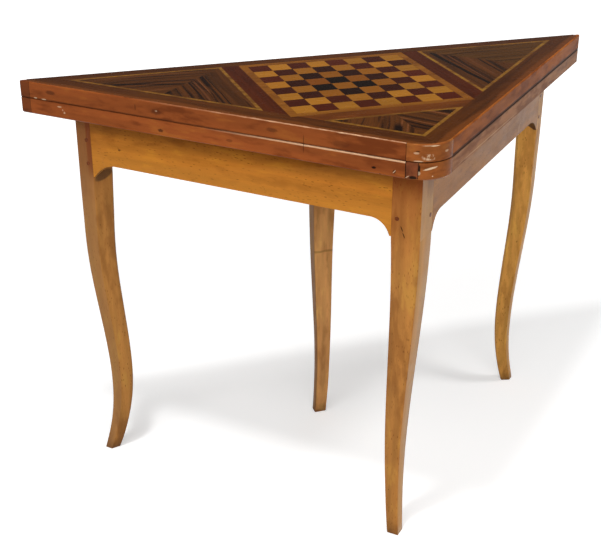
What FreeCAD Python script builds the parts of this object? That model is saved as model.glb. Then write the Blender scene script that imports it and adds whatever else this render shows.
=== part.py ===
import FreeCAD, Part
import math
import os
import re
import Sketcher

# Triangular folding games table.  Two leaves, hinged along their long edge, lie one on the other
# on a three-cornered frame.  The upper leaf carries an inlaid chess board and opens backwards to
# make a square baize-lined top, which rests on a tray drawer that slides out with the fourth leg.
#
# Axes: X along the hinged long edge, Y towards the hinges, Z up.  The origin is on the floor,
# under the centre of the whole table's bounding box.  Inside the file, lengths along Y are
# measured from the leaves' back edge, and back_edge moves them all to the origin.

SIZES = [
    # leaves
    ("leaf_length", 1070, "long edge of a leaf, sharp corner to sharp corner"),
    ("table_height", 740, "floor to the chess board"),
    ("leaf_thick", 27.3, "thickness of each leaf"),
    ("leaf_gap", 0.4, "gap between the closed leaves"),
    ("front_radius", 50, "rounding of a leaf's square corner"),
    ("tip_radius", 3, "rounding of a leaf's pointed corners"),
    ("tip_solid", 16, "solid wood at the pointed corners, past the veneers"),
    ("under_bevel", 2, "bevel under the lower leaf's edge"),
    ("arris_radius", 2.5, "rounding of the leaves' upper outside edges"),
    ("arris_land", 0.1, "solid wood between the rounded arris and the veneers"),
    ("lipping_width", 22, "width of the solid edge pieces"),
    ("rail_width", 46, "width of the hinge rail along the long edge"),
    ("block_land", 2, "straight part of the corner block past its rounding"),
    ("patch_width", 19, "repair let into the end of the lower corner block"),
    ("patch_depth", 7, "how deep the repair goes in"),
    ("baize_thick", 1.0, "thickness of the playing cloth"),
    ("baize_drop", 0.2, "cloth below the wood round it"),
    ("cloth_clear", 0.25, "clearance round the cloth"),
    # marquetry
    ("veneer_thick", 1.5, "thickness of the sawn veneers"),
    ("border_width", 13.5, "light border round the chess board"),
    ("board_overlap", 7.08, "board's front corners past the line of the stringing"),
    ("board_shift", 4, "board left of the leaf's centre line"),
    ("back_margin", 26, "back edge to the board and the corner panels"),
    ("band_width", 31, "dark band between the board and the corner panels"),
    ("string_inset", 39.3, "sharp side of the leaf to the corner panels"),
    ("string_width", 6, "width of the light stringing"),
    # frame
    ("leaf_overhang", 38.2, "leaf past the face of the aprons"),
    ("back_inset", 10, "leaf past the back rail"),
    ("frame_depth", 85.5, "height of the aprons"),
    ("board_thick", 20, "thickness of the aprons and back rails"),
    ("bracket_drop", 26, "how far an apron's bracket comes down the leg"),
    ("bracket_side", 46, "length of the bracket at a side leg"),
    ("bracket_front", 33, "length of the bracket at the front leg"),
    ("bracket_land", 3, "flat foot of a bracket"),
    ("tenon_thick", 8, "thickness of the tenons"),
    ("tenon_setback", 6, "face of a board to its tenon"),
    ("tenon_reach", 16, "tenon into a side leg or the sliding leg"),
    ("front_tenon", 22, "tenon into the front leg"),
    ("tenon_shoulder", 12, "board above its tenon"),
    ("tenon_lower", 18, "tenon below the frame's lower edge, in the bracket"),
    ("mortise_clear", 1, "space at the bottom of a mortise"),
    ("peg_radius", 3.5, "radius of the tenon pegs"),
    ("peg_inset", 9, "shoulder to the peg's centre"),
    ("peg_top", 46, "top of the frame to the upper peg"),
    ("peg_pitch", 42, "upper peg to lower peg"),
    ("front_peg_top", 81, "top of the frame to the front leg's one peg"),
    ("peg_length", 22, "length of a peg"),
    ("peg_proud", 0.4, "peg above the face of the leg"),
    ("peg_clear", 0.05, "clearance round the pegs"),
    ("block_size", 18, "side of the triangular glue blocks"),
    ("block_length", 60, "length of the glue blocks"),
    ("block_first", 130, "side corner to the first glue block"),
    ("block_second", 320, "side corner to the second glue block"),
    # legs
    ("front_post", 48, "side of the front leg's square post"),
    ("nose_cut", 30.4, "side corner of the frame to the blunt nose of the leg"),
    ("side_half", 23.7, "half width of a side leg"),
    ("side_depth", 54.5, "depth of a side leg from its nose"),
    ("side_flat", 3, "half width of a side leg's inner face"),
    ("slide_width", 48, "width of the sliding leg"),
    ("slide_depth", 34, "depth of the sliding leg"),
    ("front_straight", 4, "front leg upright below the brackets"),
    ("front_ankle", 127, "height of the front leg's ankle"),
    ("front_sweep", 41, "front leg's ankle inside its knee"),
    ("front_kick", 10, "front leg's foot outside its ankle"),
    ("front_ankle_width", 25.4, "side of the front leg at its ankle"),
    ("front_foot_width", 20.5, "side of the front leg on the floor"),
    ("side_straight", 113, "side leg upright below the brackets"),
    ("side_ankle", 150, "height of a side leg's ankle"),
    ("side_sweep", 25, "side leg's ankle inside its knee"),
    ("side_kick", 24, "side leg's foot outside its ankle"),
    ("side_drift", 0.14, "how much a side leg's sweep turns to the back"),
    ("side_ankle_width", 32.5, "width of a side leg at its ankle"),
    ("side_foot_width", 23.5, "width of a side leg on the floor"),
    ("slide_straight", 167, "sliding leg upright below the brackets"),
    ("slide_ankle", 145, "height of the sliding leg's ankle"),
    ("slide_sweep", 15.6, "sliding leg's ankle inside its knee"),
    ("slide_kick", 14, "sliding leg's foot outside its ankle"),
    ("slide_ankle_width", 26.4, "width of the sliding leg at its ankle"),
    ("slide_foot_width", 23.8, "width of the sliding leg on the floor"),
    # sliding carriage
    ("tray_width", 240, "width of the tray drawer"),
    ("tray_clear", 1, "clearance beside and above the tray"),
    ("tray_side", 12, "thickness of the tray's sides and end"),
    ("tray_bottom", 6, "thickness of the tray's bottom"),
    ("tray_rebate", 2, "tray's bottom above the lower edge of its sides"),
    ("tray_room", 20.7, "closed tray's end to the inside of the frame's corner"),
    ("guide_thick", 20, "thickness of the guides beside the tray"),
    ("runner_width", 16, "width of the strips that the tray slides on"),
    ("runner_depth", 14, "height of the strips that the tray slides on"),
    ("slide_clear", 0.3, "running clearance under the tray"),
    ("stop_width", 16, "width of the stop rail and the stop lug"),
    ("stop_behind", 0.5, "closed sliding leg to the stop rail"),
    ("stop_clear", 0.5, "clearance left when the tray meets its stop"),
    ("lug_length", 60, "length of the stop lug"),
    ("lug_clear", 2, "stop lug above the foot of the frame"),
    # hinges
    ("hinge_spacing", 330, "middle of the table to a hinge"),
    ("hinge_length", 60, "length of a hinge"),
    ("plate_width", 24, "width of a hinge plate"),
    ("plate_thick", 2, "thickness of a hinge plate"),
    ("barrel_radius", 3.4, "radius of the knuckles"),
    ("barrel_clear", 0.4, "clearance round the knuckles"),
    ("knuckle_clear", 0.15, "clearance at each end of a knuckle"),
    ("pin_radius", 1.5, "radius of the hinge pins"),
    ("pin_clear", 0.05, "running clearance of the hinge pins"),
    ("pin_behind", 0.25, "hinge pin behind the leaf's back edge"),
    ("screw_hole", 3, "radius of the screw holes in a hinge plate"),
    ("screw_pitch", 20, "one screw of a hinge plate to the next"),
    ("screw_inset", 13.7, "back edge to the screws"),
]

# Half of a side corner is an eighth of a turn over two: its sine, cosine and tangent.
SINE = "(sqrt(2 - sqrt(2))/2)"
COSINE = "(sqrt(2 + sqrt(2))/2)"
TANGENT = "(sqrt(2) - 1)"

RULES = {
    # heights
    "upper_bottom": "table_height - leaf_thick",
    "lower_top": "upper_bottom - leaf_gap",
    "seam": "upper_bottom - leaf_gap/2",
    "frame_top": "lower_top - leaf_thick",
    "frame_foot": "frame_top - frame_depth",
    "bracket_foot": "frame_foot - bracket_drop",
    "veneer_foot": "table_height - veneer_thick",
    "cloth_recess": "baize_drop + baize_thick + cloth_clear",
    "tray_foot": "frame_foot + runner_depth + slide_clear",
    "tray_top": "frame_top - tray_clear",
    # plan of a leaf
    "half_length": "leaf_length/2",
    "inner_reach": "half_length - lipping_width*sqrt(2)",
    "core_half": "inner_reach - rail_width",
    "deck_inset": "arris_radius + arris_land",
    "deck_end": "half_length - tip_solid",
    "deck_reach": "half_length - deck_inset*sqrt(2)",
    "block_reach": "front_radius + block_land",
    "patch_start": "block_reach - patch_width",
    "barrel_back": "pin_behind + barrel_radius",
    "back_edge": "(half_length - (sqrt(2) - 1)*front_radius - barrel_back)/2",
    # plan of the marquetry
    "string_reach": "half_length - string_inset*sqrt(2)",
    "board_side": "(string_reach + board_overlap - back_margin)/1.5",
    "square_size": "(board_side - 2*border_width)/8",
    "board_left": "-board_shift - board_side/2",
    "board_right": "-board_shift + board_side/2",
    "board_front": "-back_margin - board_side",
    "panel_left": "board_left - band_width",
    "panel_right": "board_right + band_width",
    "panel_front": "board_front - band_width",
    # plan of the frame
    "frame_reach": "half_length - leaf_overhang*sqrt(2)",
    "corner_half": "frame_reach - back_inset",
    "apron_length": "corner_half*sqrt(2)",
    "inside_reach": "frame_reach - board_thick*sqrt(2)",
    "shoulder": f"side_half/{SINE}",
    "face_run": f"nose_cut + side_depth - side_half/{TANGENT}",
    "face_rise": "side_half - side_flat",
    "shoulder_slope": f"(face_run*{COSINE} - face_rise*{SINE})/(face_run*{SINE} + face_rise*{COSINE})",
    "side_radius_under": "(bracket_side^2 + bracket_drop^2)/(2*bracket_drop)",
    "front_radius_under": "(bracket_front^2 + bracket_drop^2)/(2*bracket_drop)",
    # plan of the carriage
    "guide_face": "tray_width/2 + tray_clear",
    "board_back": "-back_inset - board_thick",
    "stop_back": "-back_inset - slide_depth - stop_behind",
    "tray_travel": "inside_reach - tray_width/2 - tray_room + (stop_back) - 2*stop_width - stop_clear",
    "lug_back": "stop_back - stop_width - tray_travel - stop_clear",
    "tray_end": "lug_back - stop_width",
    # hinges
    "knuckle": "hinge_length/3",
}

WORD = re.compile(r"[a-z]+_[a-z_]+|seam|shoulder|knuckle")

doc = FreeCAD.newDocument("GamesTable")
sheet = doc.addObject("Spreadsheet::Sheet", "Sizes")
for row, (alias, size, note) in enumerate(SIZES, start=1):
    sheet.set(f"A{row}", note)
    sheet.set(f"B{row}", str(size))
    sheet.setAlias(f"B{row}", alias)
doc.recompute()

nodes = {}

ROD_SIDES = 12    # sides of the whittled pegs and of the small screw holes


def spell(text):
    """An expression in the cells of the sheet, with each rule written out."""
    def cell(match):
        word = match.group()
        return f"({spell(RULES[word])})" if word in RULES else f"Sizes.{word}"
    return WORD.sub(cell, str(text))


def bind(thing, **sizes):
    """Ties properties of an object to the sheet."""
    for name, text in sizes.items():
        thing.setExpression(name, spell(text))
    return thing


def move(thing, x="0", y="0", z="0"):
    """Places an object; y is measured from the back edge of the leaves."""
    thing.setExpression("Placement.Base.x", spell(x))
    thing.setExpression("Placement.Base.y", spell(f"back_edge + {y}"))
    thing.setExpression("Placement.Base.z", spell(z))
    return thing


def node(label, thing):
    """Names a finished sub-part."""
    thing.Label = label
    nodes[label] = thing
    return thing


# ---------------------------------------------------------------- shapes

def origin_plane(body, role):
    return next(plane for plane in body.Origin.OriginFeatures if plane.Role == role)


def outline(body, corners, base="0", role="XY_Plane"):
    """A closed sketch on one of the body's planes, each corner tied to the sheet."""
    sketch = body.newObject("Sketcher::SketchObject", "Outline")
    sketch.AttachmentSupport = (origin_plane(body, role), [""])
    sketch.MapMode = "FlatFace"
    sketch.setExpression("AttachmentOffset.Base.z", spell(base))
    count = len(corners)
    turn = 2*math.pi/count
    ring = [FreeCAD.Vector(math.cos(turn*i), math.sin(turn*i), 0)*100 for i in range(count)]
    sketch.addGeometry([Part.LineSegment(ring[i], ring[(i + 1) % count]) for i in range(count)])
    for i in range(count):
        sketch.addConstraint(Sketcher.Constraint("Coincident", i, 2, (i + 1) % count, 1))
    for i, (x, y) in enumerate(corners):
        for kind, letter, text in (("DistanceX", "x", x), ("DistanceY", "y", y)):
            index = sketch.addConstraint(Sketcher.Constraint(kind, -1, 1, i, 1, 1.0))
            sketch.renameConstraint(index, f"{letter}{i}")
            sketch.setExpression(f"Constraints.{letter}{i}", spell(text))
    return sketch


def plate(corners, base, top, name="Plate"):
    """A flat piece with straight sides, between two heights."""
    body = doc.addObject("PartDesign::Body", name)
    sketch = outline(body, corners, base)
    pad = body.newObject("PartDesign::Pad", "Thickness")
    pad.Profile = sketch
    bind(pad, Length=f"({top}) - ({base})")
    return body


def leaf_plate(corners, base, top, name="Plate"):
    """A flat piece of a leaf, its corners measured from the middle of the back edge."""
    return move(plate(corners, base, top, name))


def ease(body, kind, picked, **size):
    """Rounds or bevels the edges of a body that a test picks: kind is Fillet or Chamfer."""
    doc.recompute()
    tip = body.Tip
    names = [f"Edge{i}" for i, edge in enumerate(tip.Shape.Edges, start=1) if picked(edge)]
    eased = body.newObject(f"PartDesign::{kind}", kind)
    eased.Base = (tip, names)
    bind(eased, **size)
    return body


def box(x, y, z, length, width, height):
    """A block from its lowest corner, y from the back edge."""
    return move(bind(doc.addObject("Part::Box", "Block"), Length=length, Width=width, Height=height), x, y, z)


def rod(radius, height, x, y, z, axis):
    """A round rod along an axis from its end."""
    cylinder = doc.addObject("Part::Cylinder", "Rod")
    cylinder.Placement.Rotation = FreeCAD.Rotation(FreeCAD.Vector(0, 0, 1), axis)
    return move(bind(cylinder, Radius=radius, Height=height), x, y, z)


def join(pieces, name="Joined"):
    """Several pieces fused into one."""
    if len(pieces) == 1:
        return pieces[0]
    fused = doc.addObject("Part::MultiFuse", name)
    fused.Shapes = pieces
    return fused


def group(pieces, name="Group"):
    """Several like pieces kept as separate solids of one node."""
    compound = doc.addObject("Part::Compound", name)
    compound.Links = pieces
    return compound


def cut(base, tools, name="Cut"):
    """A piece with other pieces taken out of it."""
    result = doc.addObject("Part::Cut", name)
    result.Base = base
    result.Tool = join(tools)
    return result


def mirrored(thing):
    """The same piece on the other side of the table's middle plane."""
    mirror = doc.addObject("Part::Mirroring", "Mirrored")
    mirror.Source = thing
    mirror.Normal = FreeCAD.Vector(1, 0, 0)
    return mirror


class Side:
    """The plan of one straight side of the frame, from the left corner of the frame.
    Along runs away from that corner and inward points into the frame."""

    def __init__(self, turn, inward):
        self.cosine = round(math.cos(math.radians(turn)), 9)
        self.sine = round(math.sin(math.radians(turn)), 9)
        self.turn = turn
        self.inward = inward

    def place(self, along, inward):
        """The x and y of a point, y from the back edge."""
        x = f"-corner_half + ({along})*{self.cosine} - ({inward})*{self.inward*self.sine}"
        y = f"-back_inset + ({along})*{self.sine} + ({inward})*{self.inward*self.cosine}"
        return x, y

    def rotation(self):
        return FreeCAD.Rotation(FreeCAD.Vector(0, 0, 1), self.turn)

    def block(self, along, inward, base, length, width, height):
        """A block from its corner nearest the frame's corner, face and floor."""
        block = doc.addObject("Part::Box", "Block")
        block.Placement.Rotation = self.rotation()
        near = inward if self.inward > 0 else f"({inward}) + ({width})"
        return move(bind(block, Length=length, Width=width, Height=height), *self.place(along, near), base)

    def inward_rod(self, thing, along, inward, height):
        """A rod that runs inward from a point."""
        axis = self.rotation().multVec(FreeCAD.Vector(0, self.inward, 0))
        thing.Placement.Rotation = FreeCAD.Rotation(FreeCAD.Vector(0, 0, 1), axis)
        return move(thing, *self.place(along, inward), height)

    def round_rod(self, radius, along, height):
        """A round rod right through the thickness of a board."""
        cylinder = doc.addObject("Part::Cylinder", "Hollow")
        return self.inward_rod(bind(cylinder, Radius=radius, Height="board_thick + 2"), along, "-1", height)

    def peg(self, along, height, grow):
        """A whittled peg, or with some clearance its hole."""
        prism = doc.addObject("Part::Prism", "Peg")
        prism.Polygon = ROD_SIDES
        bind(prism, Circumradius=f"peg_radius + {grow}", Height=f"peg_length + {grow}")
        return self.inward_rod(prism, along, "-peg_proud", height)

    def board(self, corners, base, top, name):
        """A flat piece whose corners are (along, inward)."""
        body = plate([(along, f"({inward})*{self.inward}") for along, inward in corners], base, top, name)
        body.Placement.Rotation = self.rotation()
        return move(body, *self.place("0", "0"))


APRON = Side(-45, 1)
RAIL = Side(0, -1)


# ---------------------------------------------------------------- leaves

HINGES = ("-hinge_spacing", "hinge_spacing")
CORE = [("-core_half", "-rail_width"), ("core_half", "-rail_width"), ("0", "-inner_reach")]
RAIL_PLAN = [("-inner_reach", "0"), ("inner_reach", "0"),
             ("core_half", "-rail_width"), ("-core_half", "-rail_width")]
BLOCK_OUT = ("-block_reach/sqrt(2)", "-half_length + block_reach/sqrt(2)")
BLOCK_IN = ("(lipping_width - block_reach)/sqrt(2)", "-half_length + (block_reach + lipping_width)/sqrt(2)")
LIPPING = [("-half_length", "0"), BLOCK_OUT, BLOCK_IN, ("-inner_reach", "0")]
CORNER = [
    BLOCK_OUT,
    ("0", "-half_length"),
    (f"-({BLOCK_OUT[0]})", BLOCK_OUT[1]),
    (f"-({BLOCK_IN[0]})", BLOCK_IN[1]),
    ("0", "-inner_reach"),
    BLOCK_IN,
]


def upright(x, y):
    """Picks the upright edge at a corner of a leaf."""
    def picked(edge):
        ends = [vertex.Point for vertex in edge.Vertexes]
        return len(ends) == 2 and all(abs(end.x - x) < 0.01 and abs(end.y - y) < 0.01 for end in ends)
    return picked


def outside_edges(height):
    """Picks the outside edges of a leaf's edge piece at one height."""
    def picked(edge):
        around = edge.BoundBox
        middle = around.Center
        half = sheet.leaf_length/2
        outside = abs(middle.x) - middle.y > half - sheet.lipping_width*0.45*math.sqrt(2)
        return abs(around.ZMin - height) < 0.01 and around.ZLength < 0.01 and outside and middle.y < -0.01
    return picked


def edge_pieces(base, top, arris, floor=None):
    """The left lipping of a leaf and the block at its square corner, rounded at the height of the
    arris and bevelled at the floor."""
    half = sheet.leaf_length/2
    lipping = leaf_plate(LIPPING, base, top, "Lipping")
    ease(lipping, "Fillet", upright(-half, 0), Radius="tip_radius")
    corner = leaf_plate(CORNER, base, top, "CornerBlock")
    ease(corner, "Fillet", upright(0, -half), Radius="front_radius")
    for piece in (lipping, corner):
        ease(piece, "Fillet", outside_edges(arris), Radius="arris_radius")
        if floor:
            ease(piece, "Chamfer", outside_edges(floor), Size="under_bevel")
    return lipping, corner


def deck(top):
    """The veneered part of the upper leaf, out to its arris and short of its solid points."""
    body = leaf_plate([("-deck_end", "0"), ("deck_end", "0"), ("deck_end", "deck_end - (deck_reach)"),
                       ("0", "-(deck_reach)"), ("-(deck_end)", "deck_end - (deck_reach)")],
                      "veneer_foot", top, "Deck")
    reach = sheet.leaf_length/2 - (sheet.arris_radius + sheet.arris_land)*math.sqrt(2)
    return ease(body, "Fillet", upright(0, -reach), Radius="front_radius - (deck_inset)")


def hinge_seats(base):
    """What a hinge rail loses to its hinges: the plate seats and the knuckle notches."""
    tools = []
    seat = base if base == "upper_bottom" else f"{base} - plate_thick"
    reach = "(barrel_radius + barrel_clear)"
    depth = "plate_width + barrel_clear + 1"
    for middle in HINGES:
        start = f"{middle} - hinge_length/2 - barrel_clear"
        length = "hinge_length + 2*barrel_clear"
        tools.append(box(start, "-plate_width - barrel_clear", seat, length, depth, "plate_thick"))
        tools.append(box(start, f"pin_behind - {reach}", f"seam - {reach}",
                         length, f"{reach} + 1", f"2*{reach}"))
    return tools


def knuckle_rods(radius, first, end_clear, middle, places):
    """Rods along the pin for some of a hinge's three knuckles, grown or shortened at both ends."""
    return [rod(radius, f"knuckle - 2*{end_clear}", f"{middle} - {first} + {i}*knuckle + {end_clear}",
                "pin_behind", "seam", FreeCAD.Vector(1, 0, 0)) for i in places]


def hinge_plate(middle, seat, own, other):
    """One leaf of a hinge: a let-in plate with three screw holes, its own knuckles and room for the
    other leaf's."""
    half = "hinge_length/2"
    flat = box(f"{middle} - {half}", "-plate_width", seat,
               "hinge_length", "plate_width + pin_behind", "plate_thick")
    room = knuckle_rods("(barrel_radius + barrel_clear/2)", half, "(-knuckle_clear)", middle, other)
    for i in (-1, 0, 1):
        hole = bind(doc.addObject("Part::Prism", "Hole"), Circumradius="screw_hole", Height="plate_thick + 2")
        hole.Polygon = ROD_SIDES
        room.append(move(hole, f"{middle} + {i}*screw_pitch", "-screw_inset", f"{seat} - 1"))
    knuckles = knuckle_rods("barrel_radius", half, "knuckle_clear", middle, own)
    bore = rod("pin_radius + pin_clear", "hinge_length + 2", f"{middle} - {half} - 1", "pin_behind", "seam",
               FreeCAD.Vector(1, 0, 0))
    return cut(join([cut(flat, room)] + knuckles), [bore], "HingePlate")


def hinges():
    """Two brass butt hinges along the back edge, with the outer knuckles on the lower leaf."""
    fixed = [hinge_plate(middle, "lower_top - plate_thick", (0, 2), (1,)) for middle in HINGES]
    moving = [hinge_plate(middle, "upper_bottom", (1,), (0, 2)) for middle in HINGES]
    pins = [rod("pin_radius", "hinge_length", f"{middle} - hinge_length/2", "pin_behind", "seam",
                FreeCAD.Vector(1, 0, 0)) for middle in HINGES]
    node("fixed_hinge_plates", group(fixed))
    node("moving_hinge_plates", group(moving))
    node("hinge_pins", group(pins))


def cloth(base, top):
    """The baize let into a leaf, clear of the wood round it."""
    gap = "cloth_clear"
    corners = [
        (f"-core_half + {gap}*(1 + sqrt(2))", f"-rail_width - {gap}"),
        (f"core_half - {gap}*(1 + sqrt(2))", f"-rail_width - {gap}"),
        ("0", f"-inner_reach + {gap}*sqrt(2)"),
    ]
    return leaf_plate(corners, base, top, "Baize")


def lower_leaf():
    """The fixed leaf: core, hinge rail, lippings, mended corner block and cloth."""
    node("lower_core", leaf_plate(CORE, "frame_top", "lower_top - cloth_recess", "Core"))
    rail = leaf_plate(RAIL_PLAN, "frame_top", "lower_top", "HingeRail")
    node("lower_hinge_rail", cut(rail, hinge_seats("lower_top")))
    arris = sheet.table_height - sheet.leaf_thick - sheet.leaf_gap
    lipping, corner = edge_pieces("frame_top", "lower_top", arris, arris - sheet.leaf_thick)
    node("lower_left_lipping", lipping)
    node("lower_right_lipping", mirrored(lipping))
    lap = [
        ("-patch_start/sqrt(2)", "-half_length + patch_start/sqrt(2)"),
        ("-(patch_start + patch_width)/sqrt(2)", "-half_length + (patch_start + patch_width)/sqrt(2)"),
        ("(patch_depth - patch_start - patch_width)/sqrt(2)",
         "-half_length + (patch_start + patch_width + patch_depth)/sqrt(2)"),
        ("(patch_depth - patch_start)/sqrt(2)", "-half_length + (patch_start + patch_depth)/sqrt(2)"),
    ]
    recess = leaf_plate(lap, "frame_top + under_bevel", "lower_top", "Patch")
    repair = doc.addObject("Part::Common", "Repair")
    repair.Base = corner
    repair.Tool = recess
    node("lower_corner_patch", repair)
    node("lower_corner_block", cut(corner, [recess]))
    node("lower_baize", cloth("lower_top - baize_drop - baize_thick", "lower_top - baize_drop"))


def upper_leaf():
    """The leaf that opens: core, hinge rail, lippings, corner block and cloth."""
    node("upper_core", leaf_plate(CORE, "upper_bottom + cloth_recess", "veneer_foot", "Core"))
    rail = leaf_plate(RAIL_PLAN, "upper_bottom", "veneer_foot", "HingeRail")
    node("upper_hinge_rail", cut(rail, hinge_seats("upper_bottom")))
    lipping, corner = edge_pieces("upper_bottom", "table_height", sheet.table_height)
    veneered = deck("table_height + 1")
    left_lipping = node("upper_left_lipping", cut(lipping, [veneered]))
    node("upper_right_lipping", mirrored(left_lipping))
    node("upper_corner_block", cut(corner, [veneered]))
    node("upper_baize", cloth("upper_bottom + baize_drop", "upper_bottom + baize_drop + baize_thick"))


# ---------------------------------------------------------------- marquetry

def veneer(corners, name="Veneer"):
    return leaf_plate(corners, "veneer_foot", "table_height", name)


def triangle(corner, ends, inner_corner, inner_ends):
    """Three mitred strips round a corner panel."""
    outer = [corner, ends[0], ends[1]]
    inner = [inner_corner, inner_ends[0], inner_ends[1]]
    return [veneer([outer[i], outer[(i + 1) % 3], inner[(i + 1) % 3], inner[i]], "String") for i in range(3)]


def side_panel(edge, sign):
    """Corners of a panel beside the board: outside and inside of its stringing, then the seam's end."""
    inner_reach = "(string_reach - string_width*sqrt(2))"
    inner_edge = f"({edge} + {sign}*string_width)"
    inner_back = "(back_margin + string_width)"
    outer = [(edge, "-back_margin"), (f"{sign}*(string_reach - back_margin)", "-back_margin"),
             (edge, f"{sign}*({edge}) - string_reach")]
    inner = [(inner_edge, f"-{inner_back}"), (f"{sign}*({inner_reach} - {inner_back})", f"-{inner_back}"),
             (inner_edge, f"{sign}*{inner_edge} - {inner_reach}")]
    half_seam = f"(({inner_reach} - {sign}*{inner_edge} - {inner_back})/2)"
    seam_end = (f"{inner_edge} + {sign}*{half_seam}", f"-{inner_back} - {half_seam}")
    return outer, inner, seam_end


def front_panel():
    """Corners of the panel in front of the board."""
    inner_reach = "(string_reach - string_width*sqrt(2))"
    inner_top = "(panel_front - string_width)"
    outer = [("-string_reach - (panel_front)", "panel_front"), ("string_reach + panel_front", "panel_front"),
             ("0", "-string_reach")]
    inner = [(f"-{inner_reach} - {inner_top}", inner_top), (f"{inner_reach} + {inner_top}", inner_top),
             ("0", f"-{inner_reach}")]
    return outer, inner, ("0", inner_top)


def panels():
    """Three stringed triangles, each of two veneers that meet in a seam."""
    strings = []
    for name, edge, sign in (("left", "panel_left", -1), ("right", "panel_right", 1)):
        outer, inner, seam_end = side_panel(edge, sign)
        strings += triangle(outer[0], outer[1:], inner[0], inner[1:])
        node(f"{name}_panel_back", veneer([inner[0], inner[1], seam_end]))
        node(f"{name}_panel_side", veneer([inner[0], seam_end, inner[2]]))
    outer, inner, seam_end = front_panel()
    strings += triangle(outer[0], outer[1:], inner[0], inner[1:])
    node("front_panel_left", veneer([inner[0], seam_end, inner[2]]))
    node("front_panel_right", veneer([seam_end, inner[1], inner[2]]))
    node("stringing", group(strings))


def chess_board():
    """Sixty-four squares, dark at the back left corner, in a light mitred border."""
    squares = ([], [])
    for column in range(8):
        for line in range(8):
            square = box(f"board_left + border_width + {column}*square_size",
                         f"-back_margin - border_width - {line + 1}*square_size", "veneer_foot",
                         "square_size", "square_size", "veneer_thick")
            squares[(column + line) % 2].append(square)
    node("dark_squares", group(squares[0]))
    node("light_squares", group(squares[1]))
    out = [("board_left", "-back_margin"), ("board_right", "-back_margin"),
           ("board_right", "board_front"), ("board_left", "board_front")]
    inside = [("board_left + border_width", "-back_margin - border_width"),
              ("board_right - border_width", "-back_margin - border_width"),
              ("board_right - border_width", "board_front + border_width"),
              ("board_left + border_width", "board_front + border_width")]
    strips = [veneer([out[i], out[(i + 1) % 4], inside[(i + 1) % 4], inside[i]], "Border") for i in range(4)]
    node("board_border", group(strips))


def trimmed(band, limit):
    """A band cut off at the veneered part's outline."""
    result = doc.addObject("Part::Common", "Trimmed")
    result.Base = band
    result.Tool = limit
    return result


def bands():
    """Walnut bands out to the edges and darker bands between the board and the panels."""
    whole_board = box("board_left", "board_front", "veneer_foot", "board_side", "board_side", "veneer_thick")
    limit = deck("table_height")
    back = veneer([("-half_length", "0"), ("half_length", "0"),
                   ("string_reach - back_margin", "-back_margin"),
                   ("back_margin - string_reach", "-back_margin")])
    node("back_band", trimmed(back, limit))
    for name, sign in (("left", -1), ("right", 1)):
        band = veneer([(f"{sign}*half_length", "0"), (f"{sign}*(string_reach - back_margin)", "-back_margin"),
                       ("0", "-string_reach"), ("0", "-half_length")])
        node(f"{name}_edge_band", cut(trimmed(band, limit), [whole_board]))
    sides = [veneer([(near, "-back_margin"), (far, "-back_margin"), (far, f"{sign}*({far}) - string_reach"),
                     (near, f"{sign}*({near}) - string_reach")])
             for near, far, sign in (("board_left", "panel_left", -1), ("board_right", "panel_right", 1))]
    node("side_bands", group(sides))
    front = veneer([("-string_reach - (board_front)", "board_front"),
                    ("string_reach + board_front", "board_front"),
                    ("string_reach + panel_front", "panel_front"),
                    ("-string_reach - (panel_front)", "panel_front")])
    node("front_band", front)


# ---------------------------------------------------------------- legs

LEG_SECTIONS = 10


def leg(kind, plan, post_width, top):
    """A sawn leg: an upright post, a knee that sweeps in to the ankle and a foot that kicks out.
    plan(setback, share) gives the section at one height, share being its part of the post's width."""
    body = doc.addObject("PartDesign::Body", f"{kind.title()}Leg")
    post = body.newObject("PartDesign::Pad", "Post")
    post.Profile = outline(body, plan("0", "1"), "bracket_foot")
    bind(post, Length=f"{top} - (bracket_foot)")
    knee = f"(bracket_foot - {kind}_straight)"
    ankle = f"{kind}_ankle"
    sketches = []
    for i in range(LEG_SECTIONS + 1):
        height = f"(bracket_foot*{1 - i/LEG_SECTIONS:.4g})"
        bend = f"min(1; max(0; ({knee} - {height})/({knee} - {ankle})))"
        taper = f"min(1; (bracket_foot - {height})/(bracket_foot - {ankle}))"
        flare = f"max(0; ({ankle} - {height})/{ankle})"
        setback = f"({kind}_sweep*(3*{bend}^2 - 2*{bend}^3) - {kind}_kick*{flare}^2)"
        shrink = (f"({kind}_ankle_width - {post_width})*{taper}"
                  f" + ({kind}_foot_width - {kind}_ankle_width)*{flare}")
        sketches.append(outline(body, plan(setback, f"(1 + ({shrink})/({post_width}))"), height))
    loft = body.newObject("PartDesign::AdditiveLoft", "Sweep")
    loft.Profile = sketches[0]
    loft.Sections = sketches[1:]
    return body


def front_plan(setback, share):
    """A square on its diagonal, its outer arris at the setback."""
    half = f"front_post*{share}/sqrt(2)"
    return [(setback, "0"), (f"{setback} + {half}", f"-{half}"), (f"{setback} + 2*{half}", "0"),
            (f"{setback} + {half}", half)]


def side_plan(setback, share):
    """A blunt nose, two faces flush with the boards, two inner faces and a narrow back.
    It shrinks towards the back arris of the nose, which keeps the rear face in the frame's plane."""
    nose = f"nose_cut*{TANGENT}"
    wide = f"(side_half/{TANGENT} - nose_cut)"
    plan = [("0", f"-{nose}"), (wide, "-side_half"), ("side_depth", "-side_flat"),
            ("side_depth", "side_flat"), (wide, "side_half"), ("0", nose)]
    return [(f"nose_cut + {along}*{share} + {setback}",
             f"{nose} + ({across} - {nose})*{share} + {setback}*side_drift") for along, across in plan]


def slide_plan(setback, share):
    """A rectangle with its outer face at the setback."""
    half = f"slide_width*{share}/2"
    back = f"{setback} + slide_depth*{share}"
    return [(setback, f"-{half}"), (back, f"-{half}"), (back, half), (setback, half)]


def tenon(side, along, length):
    """A tenon, or the mortise for it, along one side of the frame."""
    return side.block(along, "tenon_setback", "frame_foot - tenon_lower", length, "tenon_thick",
                      "frame_depth + tenon_lower - tenon_shoulder")


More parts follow.
